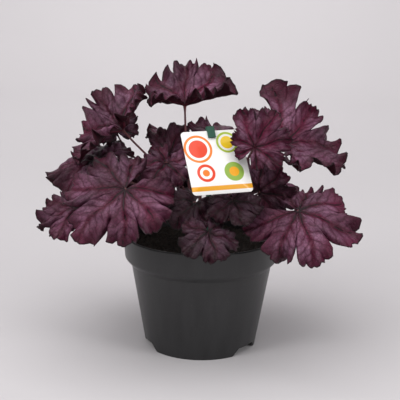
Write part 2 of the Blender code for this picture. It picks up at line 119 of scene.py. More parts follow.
def round_way(turn: Array, radius: Array | float, height: Array | float) -> Array:
    """Points at angles round the Z axis, at one radius and one height or at many."""
    return np.stack(np.broadcast_arrays(radius * np.cos(turn), radius * np.sin(turn), height), axis=-1)


def closed_tube(grid: Array, ends: Array, turned: bool = False) -> tuple[Array, list[Array]]:
    """Closes a grid of rings with fans of triangles round a point at each end.

    Args:
        grid: points by ring and by place round it.
        ends: the point at the first ring and the one at the last.
        turned: whether the faces point the other way.

    Returns:
        The points and their faces.
    """
    rows, sides = grid.shape[:2]
    count = rows * sides
    first = np.arange(sides)
    last = first + count - sides
    start = np.stack([np.full_like(first, count), np.roll(first, -1), first], axis=-1)
    end = np.stack([np.full_like(first, count + 1), last, np.roll(last, -1)], axis=-1)
    faces = [grid_quads(rows, sides, wrap=True), start, end]
    points = np.concatenate([grid.reshape(-1, 3), ends])
    return points, [block[:, ::-1] for block in faces] if turned else faces


@dataclass
class Pieces:
    """Gathers arrays of points and faces into one mesh."""

    points: list[Array] = field(default_factory=list)
    faces: list[Array] = field(default_factory=list)
    slots: list[Array] = field(default_factory=list)
    maps: list[Array] = field(default_factory=list)
    tones: list[Array] = field(default_factory=list)
    count: int = 0

    def add(self, points: Array, faces: list[Array], slot: int = 0, surface_map: Array | None = None,
            tones: Array | None = None) -> None:
        """Adds one surface.

        Args:
            points: its points in millimetres.
            faces: arrays of triangles or quads that number those points.
            slot: the number of its finish.
            surface_map: two numbers for each point, for the mesh's UV map.
            tones: three numbers for each point, for the mesh's tone attribute.
        """
        total = len(points)
        self.points.append(points)
        for block in faces:
            self.faces.append(block + self.count)
            self.slots.append(np.full(len(block), slot))
        self.maps.append(np.zeros((total, 2)) if surface_map is None else surface_map)
        self.tones.append(np.zeros((total, 3)) if tones is None else tones)
        self.count += total

    def make(self, name: str, finishes: list[bpy.types.Material]) -> bpy.types.Object:
        """Makes the object, with smooth shading.

        Args:
            name: the object's name.
            finishes: one material for each slot number.

        Returns:
            The object, linked to the scene.
        """
        mesh = bpy.data.meshes.new(name)
        faces = [corners for block in self.faces for corners in block.tolist()]
        mesh.from_pydata((np.concatenate(self.points) * MM).tolist(), [], faces)
        mesh.polygons.foreach_set("use_smooth", np.ones(len(mesh.polygons), bool))
        mesh.polygons.foreach_set("material_index", np.concatenate(self.slots).astype(np.int32))
        corner_points = np.zeros(len(mesh.loops), np.int32)
        mesh.loops.foreach_get("vertex_index", corner_points)
        surface_map = mesh.uv_layers.new(name="surface")
        surface_map.data.foreach_set("uv", np.concatenate(self.maps)[corner_points].ravel())
        tones = mesh.attributes.new("tone", "FLOAT_VECTOR", "POINT")
        tones.data.foreach_set("vector", np.concatenate(self.tones).ravel())
        for finish in finishes:
            mesh.materials.append(finish)
        mesh.update()
        made = bpy.data.objects.new(name, mesh)
        bpy.context.scene.collection.objects.link(made)
        return made


@dataclass
class Shader:
    """A material's node tree, with one method that adds a node."""

    name: str

    def __post_init__(self) -> None:
        """Makes the material with its principled shader."""
        self.material = bpy.data.materials.new(self.name)
        self.material.use_nodes = True
        self.tree = self.material.node_tree
        self.surface = self.tree.nodes["Principled BSDF"]

    def add(self, kind: str, inputs: dict | None = None, output: int | str = 0,
            **settings) -> bpy.types.NodeSocket:
        """Adds a node.

        Args:
            kind: the node's type after ShaderNode.
            inputs: sockets or values by input number or name.
            output: which of its outputs to give back.
            settings: the node's own settings.

        Returns:
            That output.
        """
        node = self.tree.nodes.new("ShaderNode" + kind)
        for key, value in settings.items():
            setattr(node, key, value)
        for key, value in (inputs or {}).items():
            if isinstance(value, bpy.types.NodeSocket):
                self.tree.links.new(value, node.inputs[key])
            else:
                node.inputs[key].default_value = value
        return node.outputs[output]

    def paint(self, **sockets) -> bpy.types.Material:
        """Sets the principled shader's sockets by name, with _ for a space, and returns the material."""
        for key, value in sockets.items():
            socket = self.surface.inputs[key.replace("_", " ")]
            if isinstance(value, bpy.types.NodeSocket):
                self.tree.links.new(value, socket)
            else:
                socket.default_value = value
        return self.material


@dataclass(frozen=True)
class LeafUpperFinish:
    """Upper side of a living leaf: a thin waxy skin over purple flesh.

    Air under the skin makes the fields between the veins silvery, and the veins lie dark in grooves. The
    red is partly the flesh's own, faintly everywhere, and in thin folds it is painted light, a glow of
    light through the blade.
    Lengths are in millimetres. A scale counts a pattern's cells in a metre, so the bloom's patches are 26
    mm across, the clouds 42, the net's meshes 3.3 and the pucker 2.4.
    """

    flesh: str = "#2f0d1d"
    # This red is partly the flesh's own colour, and in folds it is a painted glow of light through the thin
    # blade.
    red_flesh_and_fold_glow: str = "#661034"
    bloom: str = "#7d536b"
    vein: str = "#16060d"
    rim: str = "#260b15"
    roughness: float = 0.46
    ior: float = 1.45
    specular: float = 0.28
    wander_across: float = 2.2
    wander_along: float = 13.0
    vein_length: float = 55.0
    vein_half_widths: tuple[float, float] = (0.6, 0.34)
    bloom_strength: float = 0.9
    vein_strength: float = 0.85
    wander_scale: float = 120.0
    net_scale: float = 300.0
    patch_scale: float = 38.0
    cloud_scale: float = 24.0
    pucker_scale: float = 420.0
    relief: float = 0.7

    def material(self) -> bpy.types.Material:
        """Builds the finish. The map's two numbers are millimetres off a main vein and along it."""
        s = Shader("leaf_skin_upper")
        smooth = {"interpolation_type": "SMOOTHSTEP"}
        place = s.add("TexCoord", output="Object")
        surface = s.add("UVMap", uv_map="surface")
        tone = s.add("Attribute", output="Vector", attribute_name="tone")
        off, along = (s.add("SeparateXYZ", {0: surface}, k) for k in range(2))
        run, light, fold = (s.add("SeparateXYZ", {0: tone}, k) for k in range(3))

        # The main veins wander, so the distance off them and along them does.
        wander = s.add("TexNoise", {"Vector": place, "Scale": self.wander_scale, "Detail": 2.0})
        wander = s.add("Math", {0: wander, 1: 0.5}, operation="SUBTRACT")
        off = s.add("Math", {0: wander, 1: self.wander_across, 2: off}, operation="MULTIPLY_ADD")
        off = s.add("Math", {0: off}, operation="ABSOLUTE")
        along = s.add("Math", {0: wander, 1: self.wander_along, 2: along}, operation="MULTIPLY_ADD")
        wide, thin = self.vein_half_widths
        width = s.add("MapRange", {0: along, 1: 0.0, 2: self.vein_length, 3: wide, 4: thin})
        main = s.add("Math", {0: off, 1: width}, operation="DIVIDE")
        main = s.add("MapRange", {0: main, 1: 1.5, 2: 0.5}, **smooth)

        # Side is the distance to the nearest side vein: 0.64 of the way to it along the main vein.
        side = s.add("Math", {0: off, 1: -SIDE_VEIN_SLANT, 2: along}, operation="MULTIPLY_ADD")
        side = s.add("Math", {0: side, 1: SIDE_VEIN_STEP}, operation="DIVIDE")
        side = s.add("Math", {0: side}, operation="FRACT")
        side = s.add("Math", {0: side, 1: 0.5}, operation="SUBTRACT")
        side = s.add("Math", {0: side}, operation="ABSOLUTE")
        side = s.add("Math", {0: side, 1: 0.64 * SIDE_VEIN_STEP}, operation="MULTIPLY")
        side_vein = s.add("MapRange", {0: side, 1: 0.5, 2: 0.1, 4: 0.5}, **smooth)
        net = s.add("TexVoronoi", {"Vector": place, "Scale": self.net_scale}, feature="DISTANCE_TO_EDGE")
        net_vein = s.add("MapRange", {0: net, 1: 0.14, 2: 0.02, 4: 0.35}, **smooth)
        veins = main
        for finer in (side_vein, net_vein):
            veins = s.add("Math", {0: veins, 1: finer}, operation="MAXIMUM")

        # The bloom lies in patches, in the fields between the veins, and thins out to the rim.
        patch = s.add("TexNoise", {"Vector": place, "Scale": self.patch_scale, "Detail": 2.0,
                                   "Roughness": 0.5})
        patch = s.add("MapRange", {0: patch, 1: 0.32, 2: 0.62, 3: 0.1})
        field_main = s.add("MapRange", {0: off, 1: 0.6, 2: 3.4}, **smooth)
        field_side = s.add("MapRange", {0: side, 1: 0.2, 2: 1.7, 3: 0.5}, **smooth)
        edge = s.add("MapRange", {0: run, 1: 0.97, 2: 0.72, 3: 0.15}, **smooth)
        bloom = field_main
        for share in (field_side, patch, edge, self.bloom_strength):
            bloom = s.add("Math", {0: bloom, 1: share}, operation="MULTIPLY")
        rim = s.add("MapRange", {0: run, 1: 0.965, 2: 0.995}, **smooth)
        dark = s.add("Math", {0: veins, 1: self.vein_strength}, operation="MULTIPLY")
        colour = linear(self.flesh)
        # The fold mask adds the red. It is partly the flesh's own, and where the blade folds it is a
        # painted glow of light through it.
        for share, ink in ((fold, self.red_flesh_and_fold_glow), (bloom, self.bloom), (rim, self.rim),
                           (dark, self.vein)):
            colour = s.add("Mix", {0: share, 6: colour, 7: linear(ink)}, 2, data_type="RGBA")

        # Light is the leaf's tone, which holds painted shade for a leaf low in the middle of the plant. The
        # blade is also darker at its middle and uneven in soft clouds.
        middle = s.add("MapRange", {0: run, 1: 0.02, 2: 0.35, 3: 0.5}, **smooth)
        cloud = s.add("TexNoise", {"Vector": place, "Scale": self.cloud_scale, "Detail": 1.0})
        cloud = s.add("MapRange", {0: cloud, 1: 0.35, 2: 0.65, 3: 0.62, 4: 1.2})
        for share in (middle, cloud):
            light = s.add("Math", {0: light, 1: share}, operation="MULTIPLY")
        colour = s.add("VectorMath", {0: colour, "Scale": light}, operation="SCALE")

        pucker = s.add("TexNoise", {"Vector": place, "Scale": self.pucker_scale, "Detail": 2.0})
        height = s.add("Math", {0: veins, 1: -1.0, 2: pucker}, operation="MULTIPLY_ADD")
        bump = s.add("Bump", {"Height": height, "Strength": 0.8, "Distance": self.relief * MM})
        gloss = s.add("MapRange", {0: patch, 3: self.roughness + 0.1, 4: self.roughness - 0.06})
        return s.paint(Base_Color=colour, Roughness=gloss, Normal=bump, IOR=self.ior,
                       Specular_IOR_Level=self.specular)


@dataclass(frozen=True)
class LeafUnderFinish:
    """Underside of the leaf: matt dark maroon skin with raised redder veins.

    The mottle's cells are 11 mm across and the grain's 2 mm.
    """

    flesh: str = "#260b15"
    vein: str = "#4c1b28"
    roughness: float = 0.55
    ior: float = 1.42
    specular: float = 0.2
    vein_length: float = 50.0
    vein_half_widths: tuple[float, float] = (1.1, 0.4)

    def material(self) -> bpy.types.Material:
        """Builds the finish on the same map as the upper side."""
        s = Shader("leaf_skin_under")
        place = s.add("TexCoord", output="Object")
        surface = s.add("UVMap", uv_map="surface")
        off, along = (s.add("SeparateXYZ", {0: surface}, k) for k in range(2))
        wide, thin = self.vein_half_widths
        width = s.add("MapRange", {0: along, 1: 0.0, 2: self.vein_length, 3: wide, 4: thin})
        main = s.add("Math", {0: off, 1: width}, operation="DIVIDE")
        main = s.add("MapRange", {0: main, 1: 1.3, 2: 0.5}, interpolation_type="SMOOTHSTEP")
        mottle = s.add("TexNoise", {"Vector": place, "Scale": 90.0, "Detail": 3.0})
        mottle = s.add("MapRange", {0: mottle, 1: 0.3, 2: 0.7, 3: 0.0, 4: 0.4})
        vein = s.add("Math", {0: main, 1: mottle}, operation="MAXIMUM")
        colour = s.add("Mix", {0: vein, 6: linear(self.flesh), 7: linear(self.vein)}, 2, data_type="RGBA")
        grain = s.add("TexNoise", {"Vector": place, "Scale": 500.0, "Detail": 2.0})
        bump = s.add("Bump", {"Height": grain, "Strength": 0.5, "Distance": 0.3 * MM})
        return s.paint(Base_Color=colour, Roughness=self.roughness, IOR=self.ior, Normal=bump,
                       Specular_IOR_Level=self.specular)


@dataclass(frozen=True)
class StalkFinish:
    """Leaf stalk: smooth fleshy skin, pinkish brown, darker and redder in long streaks."""

    skin: str = "#6d3a3c"
    streak: str = "#3d1622"
    roughness: float = 0.5
    ior: float = 1.42

    def material(self) -> bpy.types.Material:
        """Builds the finish, with streaks drawn out along the stalk."""
        s = Shader("leaf_stalk_skin")
        surface = s.add("UVMap", uv_map="surface")
        stretched = s.add("Mapping", {"Vector": surface, "Scale": (1.0, 0.06, 1.0)})
        streak = s.add("TexNoise", {"Vector": stretched, "Scale": 1.4, "Detail": 3.0})
        streak = s.add("MapRange", {0: streak, 1: 0.35, 2: 0.65})
        colour = s.add("Mix", {0: streak, 6: linear(self.skin), 7: linear(self.streak)}, 2,
                       data_type="RGBA")
        bump = s.add("Bump", {"Height": streak, "Strength": 0.4, "Distance": 0.2 * MM})
        return s.paint(Base_Color=colour, Roughness=self.roughness, IOR=self.ior, Normal=bump)


@dataclass(frozen=True)
class HairFinish:
    """Plant hairs: fine pale threads that catch the light along the stalks."""

    colour: str = "#b58f92"
    shaded: str = "#7c4d58"
    roughness: float = 0.6

    def material(self) -> bpy.types.Material:
        """Builds the finish."""
        s = Shader("leaf_hairs")
        place = s.add("TexCoord", output="Object")
        change = s.add("TexNoise", {"Vector": place, "Scale": 60.0})
        colour = s.add("Mix", {0: change, 6: linear(self.colour), 7: linear(self.shaded)}, 2,
                       data_type="RGBA")
        return s.paint(Base_Color=colour, Roughness=self.roughness)


@dataclass(frozen=True)
class PotFinish:
    """Recycled black polypropylene, injection moulded: charcoal, satin, with faint flow marks and dust."""

    colour: str = "#1e1e1f"
    flow: str = "#282829"
    dust: str = "#57534f"
    roughness: float = 0.36
    ior: float = 1.49

    def material(self) -> bpy.types.Material:
        """Builds the finish. The flow marks run up the wall, and the dust lies in a fine speckle."""
        s = Shader("moulded_black_polypropylene")
        place = s.add("TexCoord", output="Object")
        drawn = s.add("Mapping", {"Vector": place, "Scale": (1.0, 1.0, 0.12)})
        flow = s.add("TexNoise", {"Vector": drawn, "Scale": 90.0, "Detail": 4.0, "Roughness": 0.6})
        flow = s.add("MapRange", {0: flow, 1: 0.35, 2: 0.7})
        colour = s.add("Mix", {0: flow, 6: linear(self.colour), 7: linear(self.flow)}, 2,
                       data_type="RGBA")
        speck = s.add("TexNoise", {"Vector": place, "Scale": 900.0, "Detail": 2.0})
        speck = s.add("MapRange", {0: speck, 1: 0.68, 2: 0.78, 4: 0.5})
        colour = s.add("Mix", {0: speck, 6: colour, 7: linear(self.dust)}, 2, data_type="RGBA")
        gloss = s.add("MapRange", {0: flow, 3: self.roughness - 0.03, 4: self.roughness + 0.07})
        grain = s.add("TexNoise", {"Vector": place, "Scale": 1400.0, "Detail": 1.0})
        bump = s.add("Bump", {"Height": grain, "Strength": 0.25, "Distance": 0.1 * MM})
        return s.paint(Base_Color=colour, Roughness=gloss, IOR=self.ior, Normal=bump)


@dataclass(frozen=True)
class PeatFinish:
    """Moist peat potting mix: nearly black brown, dull, with rusty fibres."""

    dark: str = "#120d0a"
    brown: str = "#33251b"
    roughness: float = 0.95

    def material(self) -> bpy.types.Material:
        """Builds the finish with clods of 3 mm and crumbs of 0.6 mm."""
        s = Shader("moist_peat")
        place = s.add("TexCoord", output="Object")
        clod = s.add("TexNoise", {"Vector": place, "Scale": 330.0, "Detail": 5.0, "Roughness": 0.7})
        share = s.add("MapRange", {0: clod, 1: 0.4, 2: 0.75})
        colour = s.add("Mix", {0: share, 6: linear(self.dark), 7: linear(self.brown)}, 2,
                       data_type="RGBA")
        bump = s.add("Bump", {"Height": clod, "Strength": 0.9, "Distance": 1.2 * MM})
        return s.paint(Base_Color=colour, Roughness=self.roughness, Normal=bump)


@dataclass(frozen=True)
class CrownFinish:
    """Woody plant crown: corky brown bark with paler torn edges of old leaf bases."""

    bark: str = "#3a241b"
    torn: str = "#7a5641"
    roughness: float = 0.85

    def material(self) -> bpy.types.Material:
        """Builds the finish with scales about 4 mm across."""
        s = Shader("corky_crown")
        place = s.add("TexCoord", output="Object")
        scales = s.add("TexVoronoi", {"Vector": place, "Scale": 240.0}, feature="DISTANCE_TO_EDGE")
        edge = s.add("MapRange", {0: scales, 1: 0.25, 2: 0.02, 4: 0.7})
        colour = s.add("Mix", {0: edge, 6: linear(self.bark), 7: linear(self.torn)}, 2,
                       data_type="RGBA")
        bump = s.add("Bump", {"Height": scales, "Strength": 0.8, "Distance": 0.8 * MM})
        return s.paint(Base_Color=colour, Roughness=self.roughness, Normal=bump)


@dataclass(frozen=True)
class StakeFinish:
    """Dark green polypropylene of the stake, moulded smooth."""

    colour: str = "#0e4432"
    worn: str = "#14543e"
    roughness: float = 0.33

    def material(self) -> bpy.types.Material:
        """Builds the finish with a faint grain."""
        s = Shader("moulded_green_polypropylene")
        place = s.add("TexCoord", output="Object")
        grain = s.add("TexNoise", {"Vector": place, "Scale": 600.0, "Detail": 2.0})
        colour = s.add("Mix", {0: grain, 6: linear(self.colour), 7: linear(self.worn)}, 2,
                       data_type="RGBA")
        bump = s.add("Bump", {"Height": grain, "Strength": 0.2, "Distance": 0.1 * MM})
        return s.paint(Base_Color=colour, Roughness=self.roughness, Normal=bump)


class Motif(Enum):
    """The plain shapes that the label's print is made of."""

    DISC = "disc"
    RING = "ring"
    BAR = "bar"


@dataclass(frozen=True)
class Print:
    """One printed shape: its kind, its middle, its half sizes and its ink.

    A disc's half sizes are its radius twice, and a ring's are its radius and half its line's width.
    """

    motif: Motif
    middle: tuple[float, float]
    half: tuple[float, float]
    ink: str


@dataclass(frozen=True)
class CardFinish:
    """Printed label: white synthetic card, offset printed with flat inks under a glossy film."""

    paper: str = "#f1efec"
    roughness: float = 0.3
    ior: float = 1.5
    soft_edge: float = 0.1
    prints: tuple[Print, ...] = (
        Print(Motif.BAR, (0.0, -24.5), (30.0, 2.2), "#e8a11c"),
        Print(Motif.DISC, (-15.0, 13.0), (8.5, 8.5), "#e0401f"),
        Print(Motif.RING, (-15.0, 13.0), (12.0, 1.1), "#e97c22"),
        Print(Motif.DISC, (13.0, 18.0), (6.0, 6.0), "#f0c81e"),
        Print(Motif.RING, (13.0, 18.0), (9.0, 1.0), "#a8bf3a"),
        Print(Motif.DISC, (14.0, -10.0), (9.0, 9.0), "#8fae4a"),
        Print(Motif.DISC, (14.0, -10.0), (4.5, 4.5), "#e8a11c"),
        Print(Motif.RING, (-12.0, -10.0), (7.0, 1.3), "#e0401f"),
        Print(Motif.DISC, (-12.0, -10.0), (3.2, 3.2), "#e97c22"),
    )

    def mask(self, s: Shader, surface: bpy.types.NodeSocket, shape: Print) -> bpy.types.NodeSocket:
        """Adds the nodes that are 1 on a printed shape and 0 off it.

        Args:
            s: the card's node tree.
            surface: the card's own millimetres from its middle.
            shape: the printed shape.

        Returns:
            The mask.
        """
        offset = s.add("Mapping", {"Vector": surface, "Location": (*shape.middle, 0.0)},
                       vector_type="TEXTURE")
        if shape.motif is Motif.BAR:
            scaled = s.add("VectorMath", {0: offset, 1: (1 / shape.half[0], 1 / shape.half[1], 0.0)},
                           operation="MULTIPLY")
            scaled = s.add("VectorMath", {0: scaled}, operation="ABSOLUTE")
            across, up = (s.add("SeparateXYZ", {0: scaled}, k) for k in range(2))
            far = s.add("Math", {0: across, 1: up}, operation="MAXIMUM")
            return s.add("MapRange", {0: far, 1: 1.0, 2: 0.98})
        far = s.add("VectorMath", {0: offset}, "Value", operation="LENGTH")
        reach = shape.half[0]
        if shape.motif is Motif.RING:
            far = s.add("Math", {0: far, 1: shape.half[0]}, operation="SUBTRACT")
            far = s.add("Math", {0: far}, operation="ABSOLUTE")
            reach = shape.half[1]
        return s.add("MapRange", {0: far, 1: reach + self.soft_edge, 2: reach - self.soft_edge})

    def material(self) -> bpy.types.Material:
        """Builds the finish. The map is the card's own millimetres from its middle."""
        s = Shader("printed_label_card")
        surface = s.add("UVMap", uv_map="surface")
        colour = linear(self.paper)
        for shape in self.prints:
            share = self.mask(s, surface, shape)
            colour = s.add("Mix", {0: share, 6: colour, 7: linear(shape.ink)}, 2, data_type="RGBA")
        place = s.add("TexCoord", output="Object")
        grain = s.add("TexNoise", {"Vector": place, "Scale": 700.0})
        bump = s.add("Bump", {"Height": grain, "Strength": 0.08, "Distance": 0.05 * MM})
        return s.paint(Base_Color=colour, Roughness=self.roughness, IOR=self.ior, Normal=bump)


@dataclass(frozen=True)
class StudioFinish:
    """Seamless studio paper: matt, pale grey."""

    colour: str = "#cac6c8"
    pale: str = "#cdc9cb"
    roughness: float = 0.9

    def material(self) -> bpy.types.Material:
        """Builds the finish."""
        s = Shader("studio_paper")
        place = s.add("TexCoord", output="Object")
        grain = s.add("TexNoise", {"Vector": place, "Scale": 2.0})
        colour = s.add("Mix", {0: grain, 6: linear(self.colour), 7: linear(self.pale)}, 2,
                       data_type="RGBA")
        return s.paint(Base_Color=colour, Roughness=self.roughness)


@dataclass(frozen=True)
class Leaf:
    """One leaf's plan, as in the CAD part. Lengths are in millimetres and angles in degrees.

    Base is where the stalk meets the blade. Midrib and face are the ways that the middle vein and
    the upper side point. The blade leaves the stalk by the cup, has bent down by the droop at its
    edge, rises by the saddle along the midrib and sinks by it to the sides, and waves by the ruffle.
    Lengths, where given, hold a share of the size for each lobe, from the face's left to its right.
    """

    name: str
    base: Point
    midrib: Point
    face: Point
    size: float
    cup: float
    droop: float
    ruffle: float
    seed: int
    socket: int
    lobes: int = 7
    saddle: float = 0
    lengths: tuple[float, ...] = ()


LEAVES = (
    Leaf("leaf_top", (-17.7, 10.7, 230.1), (0.02, 0.99, 0.15), (-0.05, -0.15, 0.99), 56, 36, 0, 26, 42,
         12, saddle=13, lengths=(0.75, 0.7, 0.92, 1, 0.98, 0.95, 0.8)),
    Leaf("leaf_upper_left", (-75.5, -4.2, 209.5), (-0.19, 0.97, 0.16), (-0.64, -0.25, 0.73), 54, 36, 0,
         26, 36, 15, saddle=13, lengths=(0.92, 1.08, 1.05, 1, 0.95, 0.75, 0.68)),
    Leaf("leaf_upper_right", (76.2, 11, 193.7), (0.38, 0.89, 0.26), (0.49, -0.43, 0.76), 62, 30, 0, 28,
         53, 5, saddle=6, lengths=(0.5, 0.6, 1.08, 0.92, 1.1, 1.05, 0.62)),
    Leaf("leaf_left_front", (-67.1, -86.9, 172.6), (-0.75, -0.43, -0.5), (-0.09, -0.69, 0.72), 64, 4,
         22, 20, 3328, 10, lengths=(0.72, 0.85, 0.85, 1.08, 1, 0.8, 0.66)),
    Leaf("leaf_left_low", (-110.4, -58.4, 146.5), (-0.95, -0.24, -0.18),
         (-0.09, -0.36, 0.93), 42, 6, 16, 30, 35, 17),
    Leaf("leaf_right_front", (85.8, -68.9, 150.5), (0.9, -0.39, -0.19), (-0.09, -0.61, 0.79), 58, 4, 22,
         24, 1175, 8, lengths=(0.55, 0.65, 0.82, 1.1, 1, 0.95, 0.95)),
    Leaf("leaf_left_back", (-100.5, -3.4, 180.1), (-0.96, 0.19, -0.19),
         (-0.24, -0.26, 0.93), 56, 8, 26, 26, 36, 20),
    Leaf("leaf_right_mid", (44.9, -76.6, 209.2), (0.46, 0.1, 0.88), (-0.16, -0.97, 0.19), 37, 20, 12,
         32, 34, 3, lengths=(0.5, 0.65, 0.95, 1, 0.95, 0.8, 0.6)),
    Leaf("leaf_centre", (-33.6, -31.7, 184.3), (-0.43, -0.72, -0.54),
         (-0.05, -0.58, 0.82), 32, 12, 12, 28, 9, 7, lobes=5),
    Leaf("leaf_centre_back", (-33.2, 20.7, 180.6), (0.42, 0.7, 0.58),
         (0.06, -0.65, 0.75), 34, 35, 4, 26, 10, 1, lobes=5),
    Leaf("leaf_under_label", (-6.4, -67.1, 156.5), (-0.58, -0.72, -0.38),
         (0.1, -0.53, 0.84), 36, 6, 20, 26, 11, 0, lobes=5),
    Leaf("leaf_right_inner", (54, -21.5, 156), (0.64, -0.38, 0.67),
         (-0.51, -0.86, -0), 42, 12, 12, 26, 12, 21),
    Leaf("leaf_low_right", (27, -74.9, 160.4), (0.39, -0.76, -0.53),
         (0.09, -0.53, 0.84), 31, 8, 18, 26, 24, 13, lobes=5),
    Leaf("leaf_rim_front", (5.8, -102, 138.5), (0.33, -0.77, -0.54),
         (0.21, -0.5, 0.84), 34, 6, 20, 28, 13, 23, lobes=5),
    Leaf("leaf_right_dark", (72.9, 55.5, 173.8), (0.73, 0.43, -0.53),
         (0.53, 0.13, 0.84), 34, 16, 12, 26, 14, 4, lobes=5),
    Leaf("leaf_left_dark", (-83.6, 25.3, 200.9), (-0.43, 0.76, 0.48),
         (-0.19, -0.6, 0.78), 32, 22, 10, 26, 15, 9, lobes=5),
    Leaf("leaf_behind_label", (14.5, 32.5, 194.5), (0.07, 0.99, 0.12),
         (0.07, -0.12, 0.99), 38, 26, 10, 26, 16, 14, lobes=5),
    Leaf("leaf_upper_right_back", (55.4, 76.7, 199.2), (0.24, 0.95, 0.2),
         (-0.05, -0.19, 0.98), 34, 30, 10, 28, 17, 16, lobes=5),
    Leaf("leaf_back_right", (61.3, 86.2, 143.1), (0.66, 0.69, -0.3),
         (0.24, 0.19, 0.95), 48, 8, 24, 24, 18, 19),
    Leaf("leaf_back", (-0.1, 80.9, 142.6), (-0.16, 0.92, -0.35),
         (0.29, 0.38, 0.88), 50, 8, 24, 24, 19, 6),
    Leaf("leaf_back_left", (-60.7, 69.1, 150.7), (-0.6, 0.69, -0.4),
         (0.29, 0.65, 0.7), 56, 8, 24, 24, 20, 22),
    Leaf("leaf_back_high", (-17.6, 75.3, 186.1), (-0.37, 0.91, -0.17),
         (0.17, 0.25, 0.95), 46, 16, 16, 26, 21, 11),
    Leaf("leaf_side_right", (108.6, 10.7, 135.3), (0.81, 0.46, -0.35),
         (0.39, 0.03, 0.92), 53.5, 8, 20, 26, 22, 18),
    Leaf("leaf_side_left", (-98.2, 32, 130.7), (-0.89, 0.24, -0.38),
         (-0.37, 0.07, 0.93), 48, 8, 20, 26, 23, 2),
)


